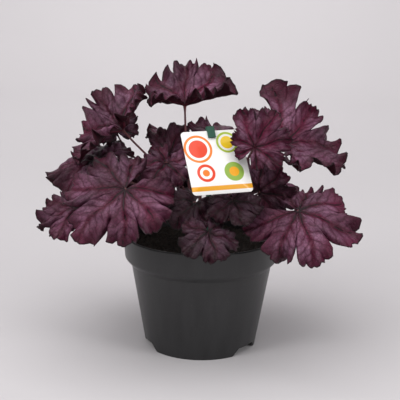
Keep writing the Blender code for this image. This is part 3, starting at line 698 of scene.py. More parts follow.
@dataclass
class HeucheraLeaf:
    """A leaf with its stalk: a blade like an open fan, veined, puckered and ruffled, and fine hairs.

    The blade is a grid of rays round the stalk's top by runs along each ray. A phase counts lobes,
    whole at a lobe's middle and a half more between two lobes.
    """

    plan: Leaf
    # The tone is a colour factor. It holds painted shade for a leaf low in the middle of the plant.
    tone: float = 1.0
    rays_per_lobe: int = 30
    runs: int = 26
    ray_steps: int = 50
    run_crowding: float = 1.25
    thickness: float = 0.5
    sinus_edge: float = 163
    fan_angle: float = 5.6
    lobe_depth: float = 0.33
    tooth_depth: float = 0.06
    small_tooth_depth: float = 0.034
    small_tooth_change: float = 0.014
    lobe_hollow: float = 0.9
    edge_wave: float = 0.5
    long_wave: float = 0.4
    long_wave_lobes: float = 2.3
    crest_change_lobes: float = 1.7
    frill: float = 1.3
    frills_per_lobe: float = 3.7
    pucker: float = 1.2
    field_reach: float = 2.5
    swell: float = 1.8
    swell_size: float = 13.0
    main_vein_ridge: float = 0.8
    ridge_reach: float = 0.75
    ridge_fade: float = 0.85
    vein_wander: float = 0.05
    vein_swings: float = 1.2
    fold_gain: float = 6
    fold_start: float = 0.3
    fold_spread: int = 14
    stalk_radius: float = 1.3
    small_leaf: float = 40
    small_stalk: float = 0.85
    stalk_taper: float = 0.3
    stalk_flare: float = 0.7
    flare_share: float = 0.04
    stalk_rib: float = 0.05
    stalk_handle: float = 0.34
    stalk_sides: int = 12
    stalk_rings: int = 60
    stalk_depth: float = 13
    socket_turn: float = 137.508
    socket_spread: float = 3.55
    hair_count: int = 260
    hair_lengths: tuple[float, float] = (0.7, 1.6)
    hair_lean: float = 0.35
    hair_radius: float = 0.06

    def lobe_table(self) -> tuple[Array, Array, Array, Array, Array]:
        """Each lobe's angle, length and added climb, the waves' phases, and each notch's depth."""
        plan = self.plan
        draw = np.random.default_rng(plan.seed)
        half = (plan.lobes - 1) / 2
        place = (np.arange(plan.lobes) - half) / half
        angles = place * (self.sinus_edge - self.sinus_edge / plan.lobes)
        angles = angles + draw.uniform(-4, 4, plan.lobes)
        lengths = np.array(plan.lengths) if plan.lengths else 1 - 0.3 * np.abs(place) ** 1.6
        lengths = lengths * draw.uniform(0.92, 1.05, plan.lobes)
        lifts = draw.uniform(-14, 14, plan.lobes)
        waves = draw.uniform(0, 2 * math.pi, 3)
        depths = draw.uniform(0.6, 1.3, plan.lobes + 1)
        return angles, lengths, lifts, waves, depths

    def frame(self) -> Array:
        """The blade frame's sideways, midrib and face directions as rows."""
        midrib = unit(np.array(self.plan.midrib, float))
        face = np.array(self.plan.face, float)
        face = unit(face - midrib * (face @ midrib))
        return np.stack([np.cross(midrib, face), midrib, face])

    def middle_surface(self, phases: Array, runs: Array) -> tuple[Array, Array]:
        """The sheet halfway between the blade's two sides, in its own frame.

        Each ray leaves the stalk's top at its own angle and climbs or falls by a slope that changes
        along it: the cup, which flattens outwards, the saddle, the droop, a hollow along each
        lobe's vein, a wave that grows towards the edge and a longer one, a short ruffle with three
        crests to a lobe, the lobe's own climb, and a fine frill at the very edge. Summing the
        slope's cosine and sine gives reach and height. A ray is as long as the size times its
        lobe's share, less a part for the notch between two lobes and for large and small teeth.

        Args:
            phases: one phase for each ray.
            runs: shares of a ray's length, from 0 to 1.

        Returns:
            Points by ray and run, and the millimetres along each ray.
        """
        plan = self.plan
        angles, lengths, lifts, waves, depths = self.lobe_table()
        part = phases - np.round(phases)
        blunt = np.round(phases) + part * (1.3 - 1.2 * part * part)
        held = np.round(phases) + part * np.abs(2 * part) ** 1.5
        knots = np.concatenate([[-0.5], np.arange(plan.lobes), [plan.lobes - 0.5]])
        turn = np.radians(np.interp(blunt, knots, [-self.sinus_edge, *angles, self.sinus_edge]))
        length = np.interp(held, np.arange(plan.lobes), lengths)
        lift = np.interp(held, np.arange(plan.lobes), lifts)[:, None]
        depth = depths[np.floor(phases).astype(int) + 1]
        reach = 1 - self.lobe_depth * depth * (2 * part) ** 4
        tooth = 1 - self.tooth_depth * (1 - np.abs(np.cos(3 * math.pi * part)) ** 0.8)
        uneven = smooth_noise(phases[:, None], 0.9, plan.seed + 40)
        spread = np.abs(np.cos(9 * math.pi * part + 0.6 * uneven))
        small_depth = self.small_tooth_depth + self.small_tooth_change * uneven
        small = 1 - small_depth * (1 - spread**0.8)
        radius = plan.size * length * reach * tooth * small
        run = np.linspace(0, 1, self.ray_steps + 1)[None, :]
        ring = phases[:, None]
        outer = run * run * (3 - 2 * run)
        frill = np.sin(2 * math.pi * self.frills_per_lobe * ring + waves[2] + 1.5 * uneven[:, None])
        slope = (
            plan.cup * (1 - 0.5 * run)
            + plan.saddle * np.cos(2 * turn)[:, None]
            - plan.droop * 2 * run**1.5
            - plan.ruffle * self.lobe_hollow * outer * (1 - 1.9 * run**3) * np.cos(2 * math.pi * ring)
            + plan.ruffle * self.edge_wave * run**3 * np.sin(3 * math.pi * ring + waves[0])
            + plan.ruffle * self.long_wave * outer
            * np.sin(2 * math.pi * ring / self.long_wave_lobes + waves[1])
            + plan.ruffle * (1 + np.sin(2 * math.pi * ring / self.crest_change_lobes + waves[2]))
            * run**6 * np.cos(6 * math.pi * ring)
            + plan.ruffle * self.frill * run**6 * frill
            + lift * run
        )
        slope = np.radians(slope)
        step = radius[:, None] / self.ray_steps
        middle = (slope[:, 1:] + slope[:, :-1]) / 2
        start = np.zeros_like(step)
        out = np.concatenate([start, np.cumsum(np.cos(middle) * step, axis=1)], axis=1)
        rise = np.concatenate([start, np.cumsum(np.sin(middle) * step, axis=1)], axis=1)
        place = runs * self.ray_steps
        low = np.minimum(place.astype(int), self.ray_steps - 1)
        share = place - low
        out = out[:, low] * (1 - share) + out[:, low + 1] * share
        rise = rise[:, low] * (1 - share) + rise[:, low + 1] * share
        points = np.stack([np.sin(turn)[:, None] * out, np.cos(turn)[:, None] * out, rise], axis=-1)
        return points, radius[:, None] * runs[None, :]

    def normals(self, points: Array) -> Array:
        """Unit normals of the grid on its face's side, from the cross product of its two slopes.

        The first run of all the rays is one point, so they share one normal there.
        """
        across = np.gradient(points, axis=0)
        outward = np.gradient(points, axis=1)
        normal = unit(np.cross(across, outward))
        apex = unit(normal[:, 1].mean(axis=0))
        normal[:, 0] = apex
        return -normal if apex[2] < 0 else normal

    def folds(self, points: Array, normal: Array) -> Array:
        """How sharply the blade is folded towards its face, from 0 to 1.

        That is the bend from each ray to the next, over the square of their distance, and then
        the mean of the grid's neighbours taken again and again.

        Args:
            points: the blade's grid.
            normal: its unit normals.

        Returns:
            One number for each point.
        """
        bend = points[2:] + points[:-2] - 2 * points[1:-1]
        span = np.linalg.norm(points[2:] - points[:-2], axis=-1) / 2
        hollow = np.zeros(points.shape[:2])
        hollow[1:-1] = (bend * normal[1:-1]).sum(axis=-1) / np.maximum(span, 0.2) ** 2
        hollow = np.clip(hollow * self.fold_gain + self.fold_start, 0, 1)
        for _ in range(self.fold_spread):
            wide = np.pad(hollow, 1, mode="edge")
            hollow = (wide[2:, 1:-1] + wide[:-2, 1:-1] + wide[1:-1, 2:] + wide[1:-1, :-2]) / 4
        return hollow

    def blade(self, pieces: Pieces) -> None:
        """Adds the blade: two sides half a thickness off the middle surface, and a wall at the edge.

        The fields between the veins stand proud by the pucker, times half a cosine from one side
        vein to the next, and the whole blade swells unevenly. The underside is thicker by a ridge
        along each main vein. A main vein swings a little to both sides on its way out, by a sine of
        its own, and the side veins start at another distance on each side of each lobe.

        Args:
            pieces: gathers the surfaces.
        """
        plan = self.plan
        phases = np.linspace(-0.5, plan.lobes - 0.5, plan.lobes * self.rays_per_lobe + 1)
        runs = 1 - (1 - np.linspace(0, 1, self.runs + 1)) ** self.run_crowding
        points, along = self.middle_surface(phases, runs)
        lobe = np.round(phases).astype(int)
        bends = np.random.default_rng(plan.seed + 11).uniform(0, 2 * math.pi, plan.lobes + 1)
        swing = 2 * math.pi * self.vein_swings * runs[None, :] + bends[lobe][:, None]
        wander = self.vein_wander * np.sin(swing)
        off = np.abs((phases - lobe)[:, None] + wander) * along * self.fan_angle / plan.lobes
        sides = 2 * plan.lobes
        stagger = np.random.default_rng(plan.seed + 7).uniform(0, SIDE_VEIN_STEP, sides)
        along = along + stagger[np.minimum((2 * phases + 1).astype(int), sides - 1)][:, None]
        normal = self.normals(points)
        field_main = 1 - np.exp(-((off / self.field_reach) ** 2))
        phase = (along - SIDE_VEIN_SLANT * off) / SIDE_VEIN_STEP
        window = np.sin(math.pi * runs**0.7)[None, :]
        proud = self.pucker * field_main * (0.5 + 0.5 * np.cos(2 * math.pi * phase)) * window
        proud = proud + self.swell * smooth_noise(points, self.swell_size, plan.seed + 90) * window
        points = points + normal * proud[..., None]
        normal = self.normals(points)
        ridge = self.main_vein_ridge * np.exp(-((off / self.ridge_reach) ** 2))
        ridge = ridge * (1 - self.ridge_fade * runs)[None, :]
        # The fold mask sets where the red is a painted glow of light through the thin blade.
        hollow = self.folds(points, normal)
        # The tone attribute holds the run, the leaf's tone with its painted shade, and the fold mask for
        # the painted red glow.
        tones = np.stack(np.broadcast_arrays(runs, self.tone, hollow), axis=-1)
        world = points @ self.frame() + np.array(plan.base)
        normal = normal @ self.frame()
        upper = world + normal * self.thickness / 2
        lower = world - normal * (self.thickness / 2 + ridge)[..., None]
        rays, rings = hollow.shape
        index = 1 + np.arange(rays * (rings - 1)).reshape(rays, rings - 1)
        fan = np.stack([np.zeros(rays - 1, int), index[1:, 0], index[:-1, 0]], axis=-1)
        quads = grid_quads(rays, rings - 1) + 1
        total = 1 + rays * (rings - 1)
        surface_map = np.stack([off, along], axis=-1)

        def packed(grid: Array) -> Array:
            """One row for the apex, then the grid without its first ring."""
            return np.concatenate([grid[:1, 0], grid[:, 1:].reshape(-1, grid.shape[-1])])

        pieces.add(packed(upper), [fan, quads[:, ::-1]], 0, packed(surface_map), packed(tones))
        start = pieces.count - total
        pieces.add(packed(lower), [fan[:, ::-1], quads], 1, packed(surface_map), packed(tones))
        border = np.concatenate([[0], index[0, :-1], index[:, -1], index[-1, -2::-1]])
        after = np.roll(border, -1)
        wall = np.stack([border, after, after + total, border + total], axis=-1) + start
        pieces.faces.append(wall)
        pieces.slots.append(np.zeros(len(wall), int))

    def path(self) -> Array:
        """Points down the stalk's middle: straight up out of its socket, then one cubic curve."""
        plan = self.plan
        frame = self.frame()
        reach = self.socket_spread * math.sqrt(plan.socket + 0.5)
        angle = math.radians(self.socket_turn * plan.socket)
        top = np.array(plan.base) + frame[1] * 0.4
        x, y = reach * math.cos(angle), reach * math.sin(angle)
        crown_top = SOIL_TOP + CROWN_RISE
        foot = np.array([x, y, crown_top + 1])
        arrive = unit(0.85 * frame[2] + 0.5 * frame[1])
        span = np.linalg.norm(top - foot)
        first = foot + np.array([0, 0, span * self.stalk_handle])
        second = top - arrive * span * self.stalk_handle
        t = np.linspace(0, 1, self.stalk_rings - 3)[:, None]
        curve = foot * (1 - t) ** 3 + first * 3 * t * (1 - t) ** 2
        curve = curve + second * 3 * t * t * (1 - t) + top * t**3
        bottom = np.array([x, y, crown_top - self.stalk_depth])
        lead = bottom + (foot - bottom) * np.array([0, 0.35, 0.7])[:, None]
        return np.concatenate([lead, curve])

    def stalk(self, pieces: Pieces) -> None:
        """Adds the stalk: a closed tube with three faint ribs.

        Its radius shrinks from its foot to its top, and grows again in a short flare under the blade.

        Args:
            pieces: gathers the surfaces.
        """
        path = self.path()
        ahead = unit(np.gradient(path, axis=0))
        side = unit(np.cross(ahead, np.array([0.31, 0.87, 0.38])))
        other = np.cross(ahead, side)
        scale = 1.0 if self.plan.size > self.small_leaf else self.small_stalk
        share = np.linspace(0, 1, len(path))
        radius = self.stalk_radius * scale * (1 - self.stalk_taper * share)
        flare = np.clip(share - 1 + self.flare_share, 0, 1) / self.flare_share
        radius = radius + self.stalk_flare * flare
        around = np.linspace(0, 2 * math.pi, self.stalk_sides, endpoint=False)
        across, up = (wave(around)[None, :, None] for wave in (np.cos, np.sin))
        ring = side[:, None] * across + other[:, None] * up
        ribs = 1 + self.stalk_rib * np.cos(3 * around)[None, :]
        tube = path[:, None] + ring * (radius[:, None] * ribs)[..., None]
        length = np.concatenate([[0], np.cumsum(np.linalg.norm(np.diff(path, axis=0), axis=1))])
        surface_map = np.stack(np.broadcast_arrays(around[None, :] * 1.2, length[:, None]), axis=-1)
        points, faces = closed_tube(tube, np.stack([path[0], path[-1]]))
        maps = np.concatenate([surface_map.reshape(-1, 2), np.zeros((2, 2))])
        pieces.add(points, faces, 2, maps)
        self.hairs(pieces, path, ring, radius)

    def hairs(self, pieces: Pieces, path: Array, ring: Array, radius: Array) -> None:
        """Adds the stalk's hairs: four-faced spikes at seeded places, standing off the skin.

        Args:
            pieces: gathers the surfaces.
            path: points down the stalk's middle.
            ring: unit directions round each of them.
            radius: the stalk's radius at each of them.
        """
        draw = np.random.default_rng(self.plan.seed + 200)
        spot = draw.integers(8, len(path) - 2, self.hair_count)
        turn = draw.integers(0, self.stalk_sides, self.hair_count)
        slide = draw.uniform(0, 1, self.hair_count)[:, None]
        out = ring[spot, turn]
        root = path[spot] * (1 - slide) + path[spot + 1] * slide + out * radius[spot][:, None] * 0.9
        lean = unit(out + draw.normal(0, self.hair_lean, (self.hair_count, 3)))
        tip = root + lean * draw.uniform(*self.hair_lengths, (self.hair_count, 1))
        across = unit(np.cross(lean, [0.2, 0.5, 0.84])) * self.hair_radius
        other = np.cross(lean, across)
        back = root - across / 2
        points = np.stack([root + across, back + other, back - other, tip], axis=1)
        start = np.arange(self.hair_count)[:, None, None] * 4
        faces = start + np.array([[0, 2, 1], [0, 1, 3], [1, 2, 3], [2, 0, 3]])[None]
        pieces.add(points.reshape(-1, 3), [faces.reshape(-1, 3)], 3)

    def build(self, finishes: list[bpy.types.Material]) -> bpy.types.Object:
        """Makes the leaf in place of its CAD node.

        Args:
            finishes: the upper side's, underside's, stalk's and hairs' materials.

        Returns:
            The leaf.
        """
        pieces = Pieces()
        self.blade(pieces)
        self.stalk(pieces)
        made = pieces.make("living_" + self.plan.name, finishes)
        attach(made, "root")
        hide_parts(self.plan.name)
        return made


@dataclass
class NurseryPot:
    """The moulded pot: a sloping wall, a flared shoulder, a straight band, arches and drain holes."""

    sides: int = 360
    height: float = 110
    wall: float = 1.6
    foot_radius: float = 53.5
    shoulder_radius: float = 67.5
    rim_radius: float = 75
    band_underside: float = 81
    band_flare: float = 6
    floor_underside: float = 8
    floor_thickness: float = 1.6
    arch_height: float = 7
    foot_turn: float = -7.5
    arch_spans: tuple = ((43, 81), (99, 137), (223, 261), (279, 317))
    drains: int = 8
    drain_ring: float = 38
    drain_radius: float = 4
    band_lean: float = 1.5
    edge_round: float = 0.5
    foot_rows: int = 14
    floor_overlap: float = 0.3
    floor_sides: int = 96
    drain_sides: int = 32

    def wall_radius(self, z: float) -> float:
        """The outer radius below the band."""
        return self.foot_radius + (self.shoulder_radius - self.foot_radius) * z / self.band_underside

    def corner(self, before: tuple, at: tuple, after: tuple, size: float) -> list[tuple]:
        """Rounds one corner of the profile with a quadratic curve of five points."""
        a, b, c = (np.array(p, float) for p in (before, at, after))
        start = b + (a - b) * min(size / np.linalg.norm(a - b), 0.45)
        end = b + (c - b) * min(size / np.linalg.norm(c - b), 0.45)
        t = np.linspace(0, 1, 5)[:, None]
        return [tuple(p) for p in start * (1 - t) ** 2 + b * 2 * t * (1 - t) + end * t * t]

    def profile(self) -> Array:
        """The wall's closed outline as radius and height.

        It starts at the floor's edge and goes down inside the foot, round it, up the outside, over
        the rim and down the inside. The foot's rows stand close, for the arches.
        """
        band = self.rim_radius - self.band_lean
        floor_top = self.floor_underside + self.floor_thickness
        inner_foot = self.foot_radius - self.wall
        skirt = [(self.wall_radius(z) - self.wall, z) for z in np.linspace(7.5, 1, self.foot_rows)]
        wall = [(self.wall_radius(z), z) for z in np.linspace(1, 8, self.foot_rows)]
        corners = [
            ((self.wall_radius(self.floor_underside) - self.wall, self.floor_underside), 0),
            ((inner_foot, 0), self.edge_round),
            ((self.foot_radius, 0), self.edge_round),
            ((self.shoulder_radius, self.band_underside), 1.2),
            ((band, self.band_underside + self.band_flare), 2.2),
            ((self.rim_radius, self.height - 0.8), 0.7),
            ((self.rim_radius - 0.8, self.height), 0.7),
            ((self.rim_radius - self.wall - 0.6, self.height), 0.8),
            ((band - self.wall, self.band_underside + self.band_flare + 1), 2),
            ((self.shoulder_radius - self.wall, self.band_underside + 1), 2),
            ((self.wall_radius(floor_top) - self.wall, floor_top), 0),
        ]
        spots = [c[0] for c in corners]
        outline: list[tuple] = []
        for k, (at, size) in enumerate(corners):
            rounded = [at]
            if size:
                rounded = self.corner(spots[k - 1], at, spots[(k + 1) % len(spots)], size)
            outline += rounded
            if k == 0:
                outline += skirt
            if k == 2:
                outline += wall
        return np.array(outline)

    def arch(self, turn: Array) -> Array:
        """How high the foot's edge is at each angle: a flat-topped arch with sloped ends over each span."""
        turn = (np.degrees(turn) + 90 - self.foot_turn) % 360
        height = np.zeros_like(turn)
        for low, high in self.arch_spans:
            ramp = np.minimum(turn - low, high - turn)
            height = np.maximum(height, np.clip(ramp, 0, self.arch_height))
        return height

    def build(self, finish: bpy.types.Material) -> bpy.types.Object:
        """Makes the pot: the profile turned about Z, its lowest rows squeezed up over each arch.

        Args:
            finish: the pot's material.

        Returns:
            The pot.
        """
        profile = self.profile()
        turn = np.linspace(0, 2 * math.pi, self.sides, endpoint=False)
        radius = profile[:, :1]
        z = np.broadcast_to(profile[:, 1:], (len(profile), self.sides))
        arch = self.arch(turn)[None, :]
        top = self.floor_underside
        lifted = np.where(z < top, arch + z * (top - arch) / top, z)
        slope = (self.shoulder_radius - self.foot_radius) / self.band_underside
        radius = radius + (lifted - z) * slope
        points = round_way(turn, radius, lifted)
        rows = len(profile)
        index = np.arange(rows * self.sides).reshape(rows, self.sides)
        closing = np.stack([index[-1], np.roll(index[-1], -1), np.roll(index[0], -1), index[0]], axis=-1)
        quads = np.concatenate([grid_quads(rows, self.sides, wrap=True), closing])
        pieces = Pieces()
        pieces.add(points.reshape(-1, 3), [quads])
        made = pieces.make("moulded_pot", [finish])
        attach(made, "root")
        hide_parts("pot")
        return made

    def floor(self, finish: bpy.types.Material) -> bpy.types.Object:
        """Makes the floor: a round plate with drain holes cut through.

        Args:
            finish: the pot's material.

        Returns:
            The floor.
        """
        low, high = self.floor_underside, self.floor_underside + self.floor_thickness
        reach = self.wall_radius(low) - self.wall + self.floor_overlap
        plate = self.round_plate("pot_floor", (0, 0), reach, (low, high), self.floor_sides)
        plate.data.materials.append(finish)
        for k in range(self.drains):
            angle = 2 * math.pi * (k + 0.5) / self.drains
            middle = (self.drain_ring * math.cos(angle), self.drain_ring * math.sin(angle))
            drill = self.round_plate("drill", middle, self.drain_radius, (low - 3, high + 3),
                                     self.drain_sides)
            cut = plate.modifiers.new("drain", "BOOLEAN")
            cut.operation = "DIFFERENCE"
            cut.object = drill
            graph = bpy.context.evaluated_depsgraph_get()
            cut_mesh = bpy.data.meshes.new_from_object(plate.evaluated_get(graph))
            plate.modifiers.clear()
            plate.data = cut_mesh
            bpy.data.objects.remove(drill, do_unlink=True)
        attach(plate, "root")
        return plate

    def round_plate(self, name: str, middle: tuple, radius: float, heights: tuple,
                    sides: int) -> bpy.types.Object:
        """Makes a closed disc: a ring of points at each height, joined by quads and filled by one face.

        Args:
            name: the object's name.
            middle: the disc's middle, across and back.
            radius: its radius.
            heights: its underside's and its top's height.
            sides: how many points are in a ring.

        Returns:
            The disc.
        """
        turn = np.linspace(0, 2 * math.pi, sides, endpoint=False)
        points = np.concatenate([round_way(turn, radius, z) for z in heights]) + np.array([*middle, 0])
        mesh = bpy.data.meshes.new(name)
        faces = grid_quads(2, sides, wrap=True).tolist()
        faces += [list(range(sides))[::-1], list(range(sides, 2 * sides))]
        mesh.from_pydata((points * MM).tolist(), [], faces)
        made = bpy.data.objects.new(name, mesh)
        bpy.context.scene.collection.objects.link(made)
        return made


@dataclass
class PottingMix:
    """The soil: an uneven crumbly top that dips to the pot's wall, with loose crumbs on it."""

    edge_radius: float = 71.5
    edge_dip: float = 1.2
    crown_hole: float = 19.3
    hole_heights: tuple[float, float] = (83.4, 92.0)
    side_profile: tuple = ((71.1, 88.6), (65.4, 82.3), (53.1, 10.4), (26.55, 10.0))
    clods: tuple = ((0.7, 12, 3), (0.6, 5, 4), (0.35, 2.2, 5))
    sides: int = 220
    rings: int = 70
    crumbs: int = 900
    crumb_sizes: tuple[float, float] = (0.6, 2.4)
    crumb_seed: int = 12

    def heights(self, x: Array, y: Array) -> Array:
        """The top's height: the CAD soil's long swell, and clods of 12, 5 and 2 mm from seeded waves."""
        swell = np.sin(x / 7.3 + 1) * np.cos(y / 8.1) + 0.6 * np.sin(x / 3.7 + y / 4.9)
        return SOIL_TOP + swell + layered_noise(np.stack([x, y], axis=-1), self.clods)

    def build(self, finish: bpy.types.Material) -> bpy.types.Object:
        """Makes the soil: the crown's hole, the top's rings out to the wall, then the side and bottom.

        Args:
            finish: the soil's material.

        Returns:
            The soil.
        """
        turn = np.linspace(0, 2 * math.pi, self.sides, endpoint=False)
        share = np.linspace(0, 1, self.rings)[:, None]
        top = round_way(turn, self.crown_hole + (self.edge_radius - self.crown_hole) * share, 0)
        top[..., 2] = self.heights(top[..., 0], top[..., 1]) - self.edge_dip * share**6
        hole = [round_way(turn, self.crown_hole, z) for z in self.hole_heights]
        side = [round_way(turn, radius, z) for radius, z in self.side_profile]
        grid = np.concatenate([np.array(hole), top, np.array(side)])
        ends = np.array([[0, 0, self.hole_heights[0]], [0, 0, self.side_profile[-1][1]]])
        pieces = Pieces()
        pieces.add(*closed_tube(grid, ends, turned=True))
        self.scatter(pieces)
        made = pieces.make("peat_mix", [finish])
        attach(made, "root")
        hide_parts("soil")
        return made

    def scatter(self, pieces: Pieces) -> None:
        """Adds loose crumbs: eight-faced lumps of 0.6 to 2.4 mm with uneven corners at seeded places.

        Args:
            pieces: gathers the surfaces.
        """
        draw = np.random.default_rng(self.crumb_seed)
        radius = np.sqrt(draw.uniform((self.crown_hole + 2) ** 2, (self.edge_radius - 3) ** 2, self.crumbs))
        turn = draw.uniform(0, 2 * math.pi, self.crumbs)
        x, y = radius * np.cos(turn), radius * np.sin(turn)
        middle = np.stack([x, y, self.heights(x, y)], axis=-1)
        size = draw.uniform(*self.crumb_sizes, (self.crumbs, 1, 1)) / 2
        corners = np.array([[1, 0, 0], [0, 1, 0], [-1, 0, 0], [0, -1, 0], [0, 0, 1], [0, 0, -1]], float)
        lumps = corners[None] * size * draw.uniform(0.6, 1.3, (self.crumbs, 6, 1))
        lumps = lumps + draw.normal(0, 0.12, lumps.shape) * size
        faces = np.array([[0, 1, 4], [1, 2, 4], [2, 3, 4], [3, 0, 4],
                          [1, 0, 5], [2, 1, 5], [3, 2, 5], [0, 3, 5]])
        start = np.arange(self.crumbs)[:, None, None] * 6
        points = (middle[:, None] + lumps).reshape(-1, 3)
        pieces.add(points, [(start + faces[None]).reshape(-1, 3)])


@dataclass
class PlantCrown:
    """The woody crown: a low knobbly dome, scaly with the bases of old leaves.

    The profile's points are a radius and a height over the soil.
    """

    profile: tuple = ((0.02, -14), (16, -14), (19, -10), (19, 1.5), (15.96, 5.4), (9.5, 8.28),
                      (0.02, CROWN_RISE))
    knobs: tuple = ((0.5, 6, 31), (0.35, 2.5, 32))
    sink: float = 0.5
    swell_centre: float = -4
    sides: int = 140
    rings: int = 70

    def build(self, finish: bpy.types.Material) -> bpy.types.Object:
        """Makes the crown: a turned profile, roughened by seeded waves 6 and 2.5 mm long.

        Args:
            finish: the crown's material.

        Returns:
            The crown.
        """
        radii, rises = np.array(self.profile).T
        length = np.concatenate([[0], np.cumsum(np.hypot(np.diff(radii), np.diff(rises)))])
        share = np.linspace(0, length[-1], self.rings)
        radius = np.interp(share, length, radii)[:, None]
        height = SOIL_TOP + np.interp(share, length, rises)[:, None]
        points = round_way(np.linspace(0, 2 * math.pi, self.sides, endpoint=False), radius, height)
        rough = layered_noise(points, self.knobs) - self.sink
        outward = unit(points - np.array([0, 0, SOIL_TOP + self.swell_centre]))
        points = points + outward * rough[..., None]
        pieces = Pieces()
        pieces.add(*closed_tube(points, np.array([points[0].mean(axis=0), points[-1].mean(axis=0)])))
        made = pieces.make("woody_crown", [finish])
        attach(made, "root")
        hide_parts("crown")
        return made


@dataclass
class PictureLabel:
    """The label: a thin card with rounded corners, and the stake whose head holds its top edge."""

    width: float = 56
    height: float = 60
    thickness: float = 0.8
    corner: float = 3.5
    corner_steps: int = 9
    edge_share: float = 0.996
    centre: Point = (12.3, -79.7, 196.4)
    right: Point = (0.936, 0.352, 0)
    up: Point = (-0.207, 0.552, 0.808)

    def frame(self) -> Array:
        """The card's right, up and front directions as rows."""
        right = unit(np.array(self.right, float))
        up = np.array(self.up, float)
        up = unit(up - right * (right @ up))
        return np.stack([right, up, np.cross(right, up)])

    def build(self, finish: bpy.types.Material, stake_finish: bpy.types.Material) -> bpy.types.Object:
        """Makes the card and gives the stake its finish.

        The card is a rounded outline shrunk to its middle on both sides, with a small round at the
        edge between them.

        Args:
            finish: the card's material.
            stake_finish: the stake's material.

        Returns:
            The card.
        """
        steps = np.radians(np.linspace(0, 90, self.corner_steps))
        across, up = self.width / 2 - self.corner, self.height / 2 - self.corner
        outline = []
        for turn, x, y in ((0, 1, 1), (90, -1, 1), (180, -1, -1), (270, 1, -1)):
            bend = round_way(steps + math.radians(turn), self.corner, 0)
            outline.append(bend + np.array([x * across, y * up, 0]))
        ring = np.concatenate(outline)
        half = self.thickness / 2
        rows = [(0.5, -half), (self.edge_share, -half), (1.0, -half * 0.5),
                (1.0, half * 0.5), (self.edge_share, half), (0.5, half)]
        grid = np.array([ring * share + np.array([0, 0, z]) for share, z in rows])
        local, faces = closed_tube(grid, np.array([[0, 0, -half], [0, 0, half]]))
        world = local @ self.frame() + np.array(self.centre)
        pieces = Pieces()
        pieces.add(world, faces, 0, local[:, :2])
        made = pieces.make("printed_card", [finish])
        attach(made, "root")
        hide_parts("label_card")
        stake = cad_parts["label_stake"]
        stake.data.materials.clear()
        stake.data.materials.append(stake_finish)
        return made


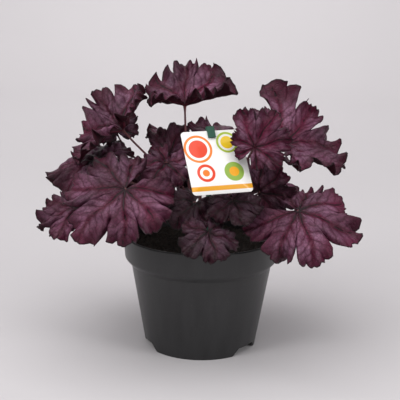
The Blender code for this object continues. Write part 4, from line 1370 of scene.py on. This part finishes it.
@dataclass
class Studio:
    """A seamless pale sweep, soft lights, and the camera where the photograph was taken from.

    The sweep's sizes are in millimetres, the lights' and the camera's places in metres, and the
    camera's turns in radians. A softbox has a name, a place, a target, a side and a power in watts.
    """

    sweep_width: float = 6000
    sweep_front: float = -2500
    sweep_back: float = 1500
    sweep_round: float = 900
    sweep_height: float = 3500
    softboxes: tuple = (
        ("top_softbox", (-0.3, -0.5, 1.7), (0, 0, 0.1), 2.4, 34),
        ("right_softbox", (1.2, -0.7, 0.6), (0, 0, 0.08), 0.5, 7),
        ("left_softbox", (-1.2, -0.9, 0.8), (0, 0, 0.1), 0.5, 6),
        ("backdrop_light", (0, 1.5, 1.9), (0, 2.9, 0.6), 1.5, 22),
    )
    glow_colour: str = "#f2f2f4"
    glow_strength: float = 0.3
    camera_place: Point = (0.0, -1.0, 0.397)
    pitch: float = 0.250
    yaw: float = -0.0021
    roll: float = 0.0145
    lens: float = 97.38
    sensor: float = 36

    def sweep(self, finish: bpy.types.Material) -> bpy.types.Object:
        """Makes the sweep: a floor that turns up in a quarter circle into a wall.

        Args:
            finish: its material.

        Returns:
            The sweep.
        """
        bend = np.radians(np.linspace(0, 90, 40))
        y = np.concatenate([[self.sweep_front], self.sweep_back + self.sweep_round * np.sin(bend),
                            [self.sweep_back + self.sweep_round]])
        z = np.concatenate([[0], self.sweep_round * (1 - np.cos(bend)), [self.sweep_height]])
        x = np.array([-self.sweep_width / 2, self.sweep_width / 2])
        points = np.stack([np.tile(x, len(y)), np.repeat(y, 2), np.repeat(z, 2)], axis=-1)
        pieces = Pieces()
        pieces.add(points, [grid_quads(len(y), 2)])
        made = pieces.make("studio_sweep", [finish])
        return made

    def light(self, name: str, place: Point, target: Point, size: float, power: float) -> None:
        """Adds one soft square light that faces a target.

        Args:
            name: its name.
            place: its middle in metres.
            target: the point it faces, in metres.
            size: its side in metres.
            power: its power in watts.
        """
        lamp = bpy.data.lights.new(name, "AREA")
        lamp.size = size
        lamp.energy = power
        made = bpy.data.objects.new(name, lamp)
        made.location = place
        made.rotation_euler = (Vector(target) - Vector(place)).to_track_quat("-Z", "Y").to_euler()
        bpy.context.scene.collection.objects.link(made)

    def build(self) -> None:
        """Builds the sweep, the lights, the world's glow and the camera."""
        self.sweep(StudioFinish().material())
        for softbox in self.softboxes:
            self.light(*softbox)
        world = bpy.data.worlds.new("studio_glow")
        world.use_nodes = True
        glow = world.node_tree.nodes["Background"]
        glow.inputs["Color"].default_value = linear(self.glow_colour)
        glow.inputs["Strength"].default_value = self.glow_strength
        bpy.context.scene.world = world
        bpy.context.scene.view_settings.view_transform = "Standard"
        self.camera()

    def camera(self) -> None:
        """Makes the camera from its place, pitch, yaw and roll."""
        forward = Vector((math.sin(self.yaw) * math.cos(self.pitch),
                          math.cos(self.yaw) * math.cos(self.pitch), -math.sin(self.pitch)))
        right = Vector((math.cos(self.yaw), -math.sin(self.yaw), 0))
        up = right.cross(forward)
        rolled_right = right * math.cos(self.roll) + up * math.sin(self.roll)
        rolled_up = up * math.cos(self.roll) - right * math.sin(self.roll)
        data = bpy.data.cameras.new("photo_camera")
        data.sensor_width = self.sensor
        data.lens = self.lens
        made = bpy.data.objects.new("photo_camera", data)
        bpy.context.scene.collection.objects.link(made)
        turn = Matrix((rolled_right, rolled_up, -forward)).transposed().to_4x4()
        made.matrix_world = Matrix.Translation(self.camera_place) @ turn
        bpy.context.scene.camera = made


@dataclass(frozen=True)
class InnerShadeTone:
    """How light each leaf is: full for one far out or high up, and darker for one low in the middle.

    The darkening is painted shade, standing in for the shade that the other leaves cast on them. Lengths
    are in millimetres.
    """

    darkest: float = 0.36
    inner: float = 30
    fade_out: float = 35
    low: float = 155
    fade_up: float = 40
    change: tuple[float, float] = (0.88, 1.06)
    seed: int = 7

    def tones(self, leaves: tuple[Leaf, ...]) -> list[float]:
        """Works out a factor for each leaf's colour, with a small seeded change of its own.

        Args:
            leaves: the leaves' plans.

        Returns:
            The factors, in the same order.
        """
        draw = np.random.default_rng(self.seed)
        tones = []
        for leaf in leaves:
            # Painted shade: a leaf low and near the plant's middle gets a darker colour.
            across, back, up = leaf.base
            outer = (max(abs(across), back) - self.inner) / self.fade_out
            upper = (up - self.low) / self.fade_up
            share = min(max(outer, upper, 0.0), 1.0)
            tone = self.darkest + (1 - self.darkest) * share
            tones.append(tone * float(draw.uniform(*self.change)))
        return tones


def main() -> None:
    """Builds and dresses every piece in order."""
    logging.basicConfig(level=logging.INFO, format="%(message)s")
    leaf_finishes = [LeafUpperFinish().material(), LeafUnderFinish().material(),
                     StalkFinish().material(), HairFinish().material()]
    # Each leaf's tone holds painted shade for the leaves low in the middle of the plant.
    made = [HeucheraLeaf(plan, tone=tone).build(leaf_finishes)
            for plan, tone in zip(LEAVES, InnerShadeTone().tones(LEAVES))]
    pot = NurseryPot()
    plastic = PotFinish().material()
    made += [
        pot.build(plastic),
        pot.floor(plastic),
        PottingMix().build(PeatFinish().material()),
        PlantCrown().build(CrownFinish().material()),
        PictureLabel().build(CardFinish().material(), StakeFinish().material()),
    ]
    for piece in made:
        LOG.info("%s: %d faces", piece.name, len(piece.data.polygons))
    Studio().build()
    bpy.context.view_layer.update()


if __name__ == "__main__":
    main()
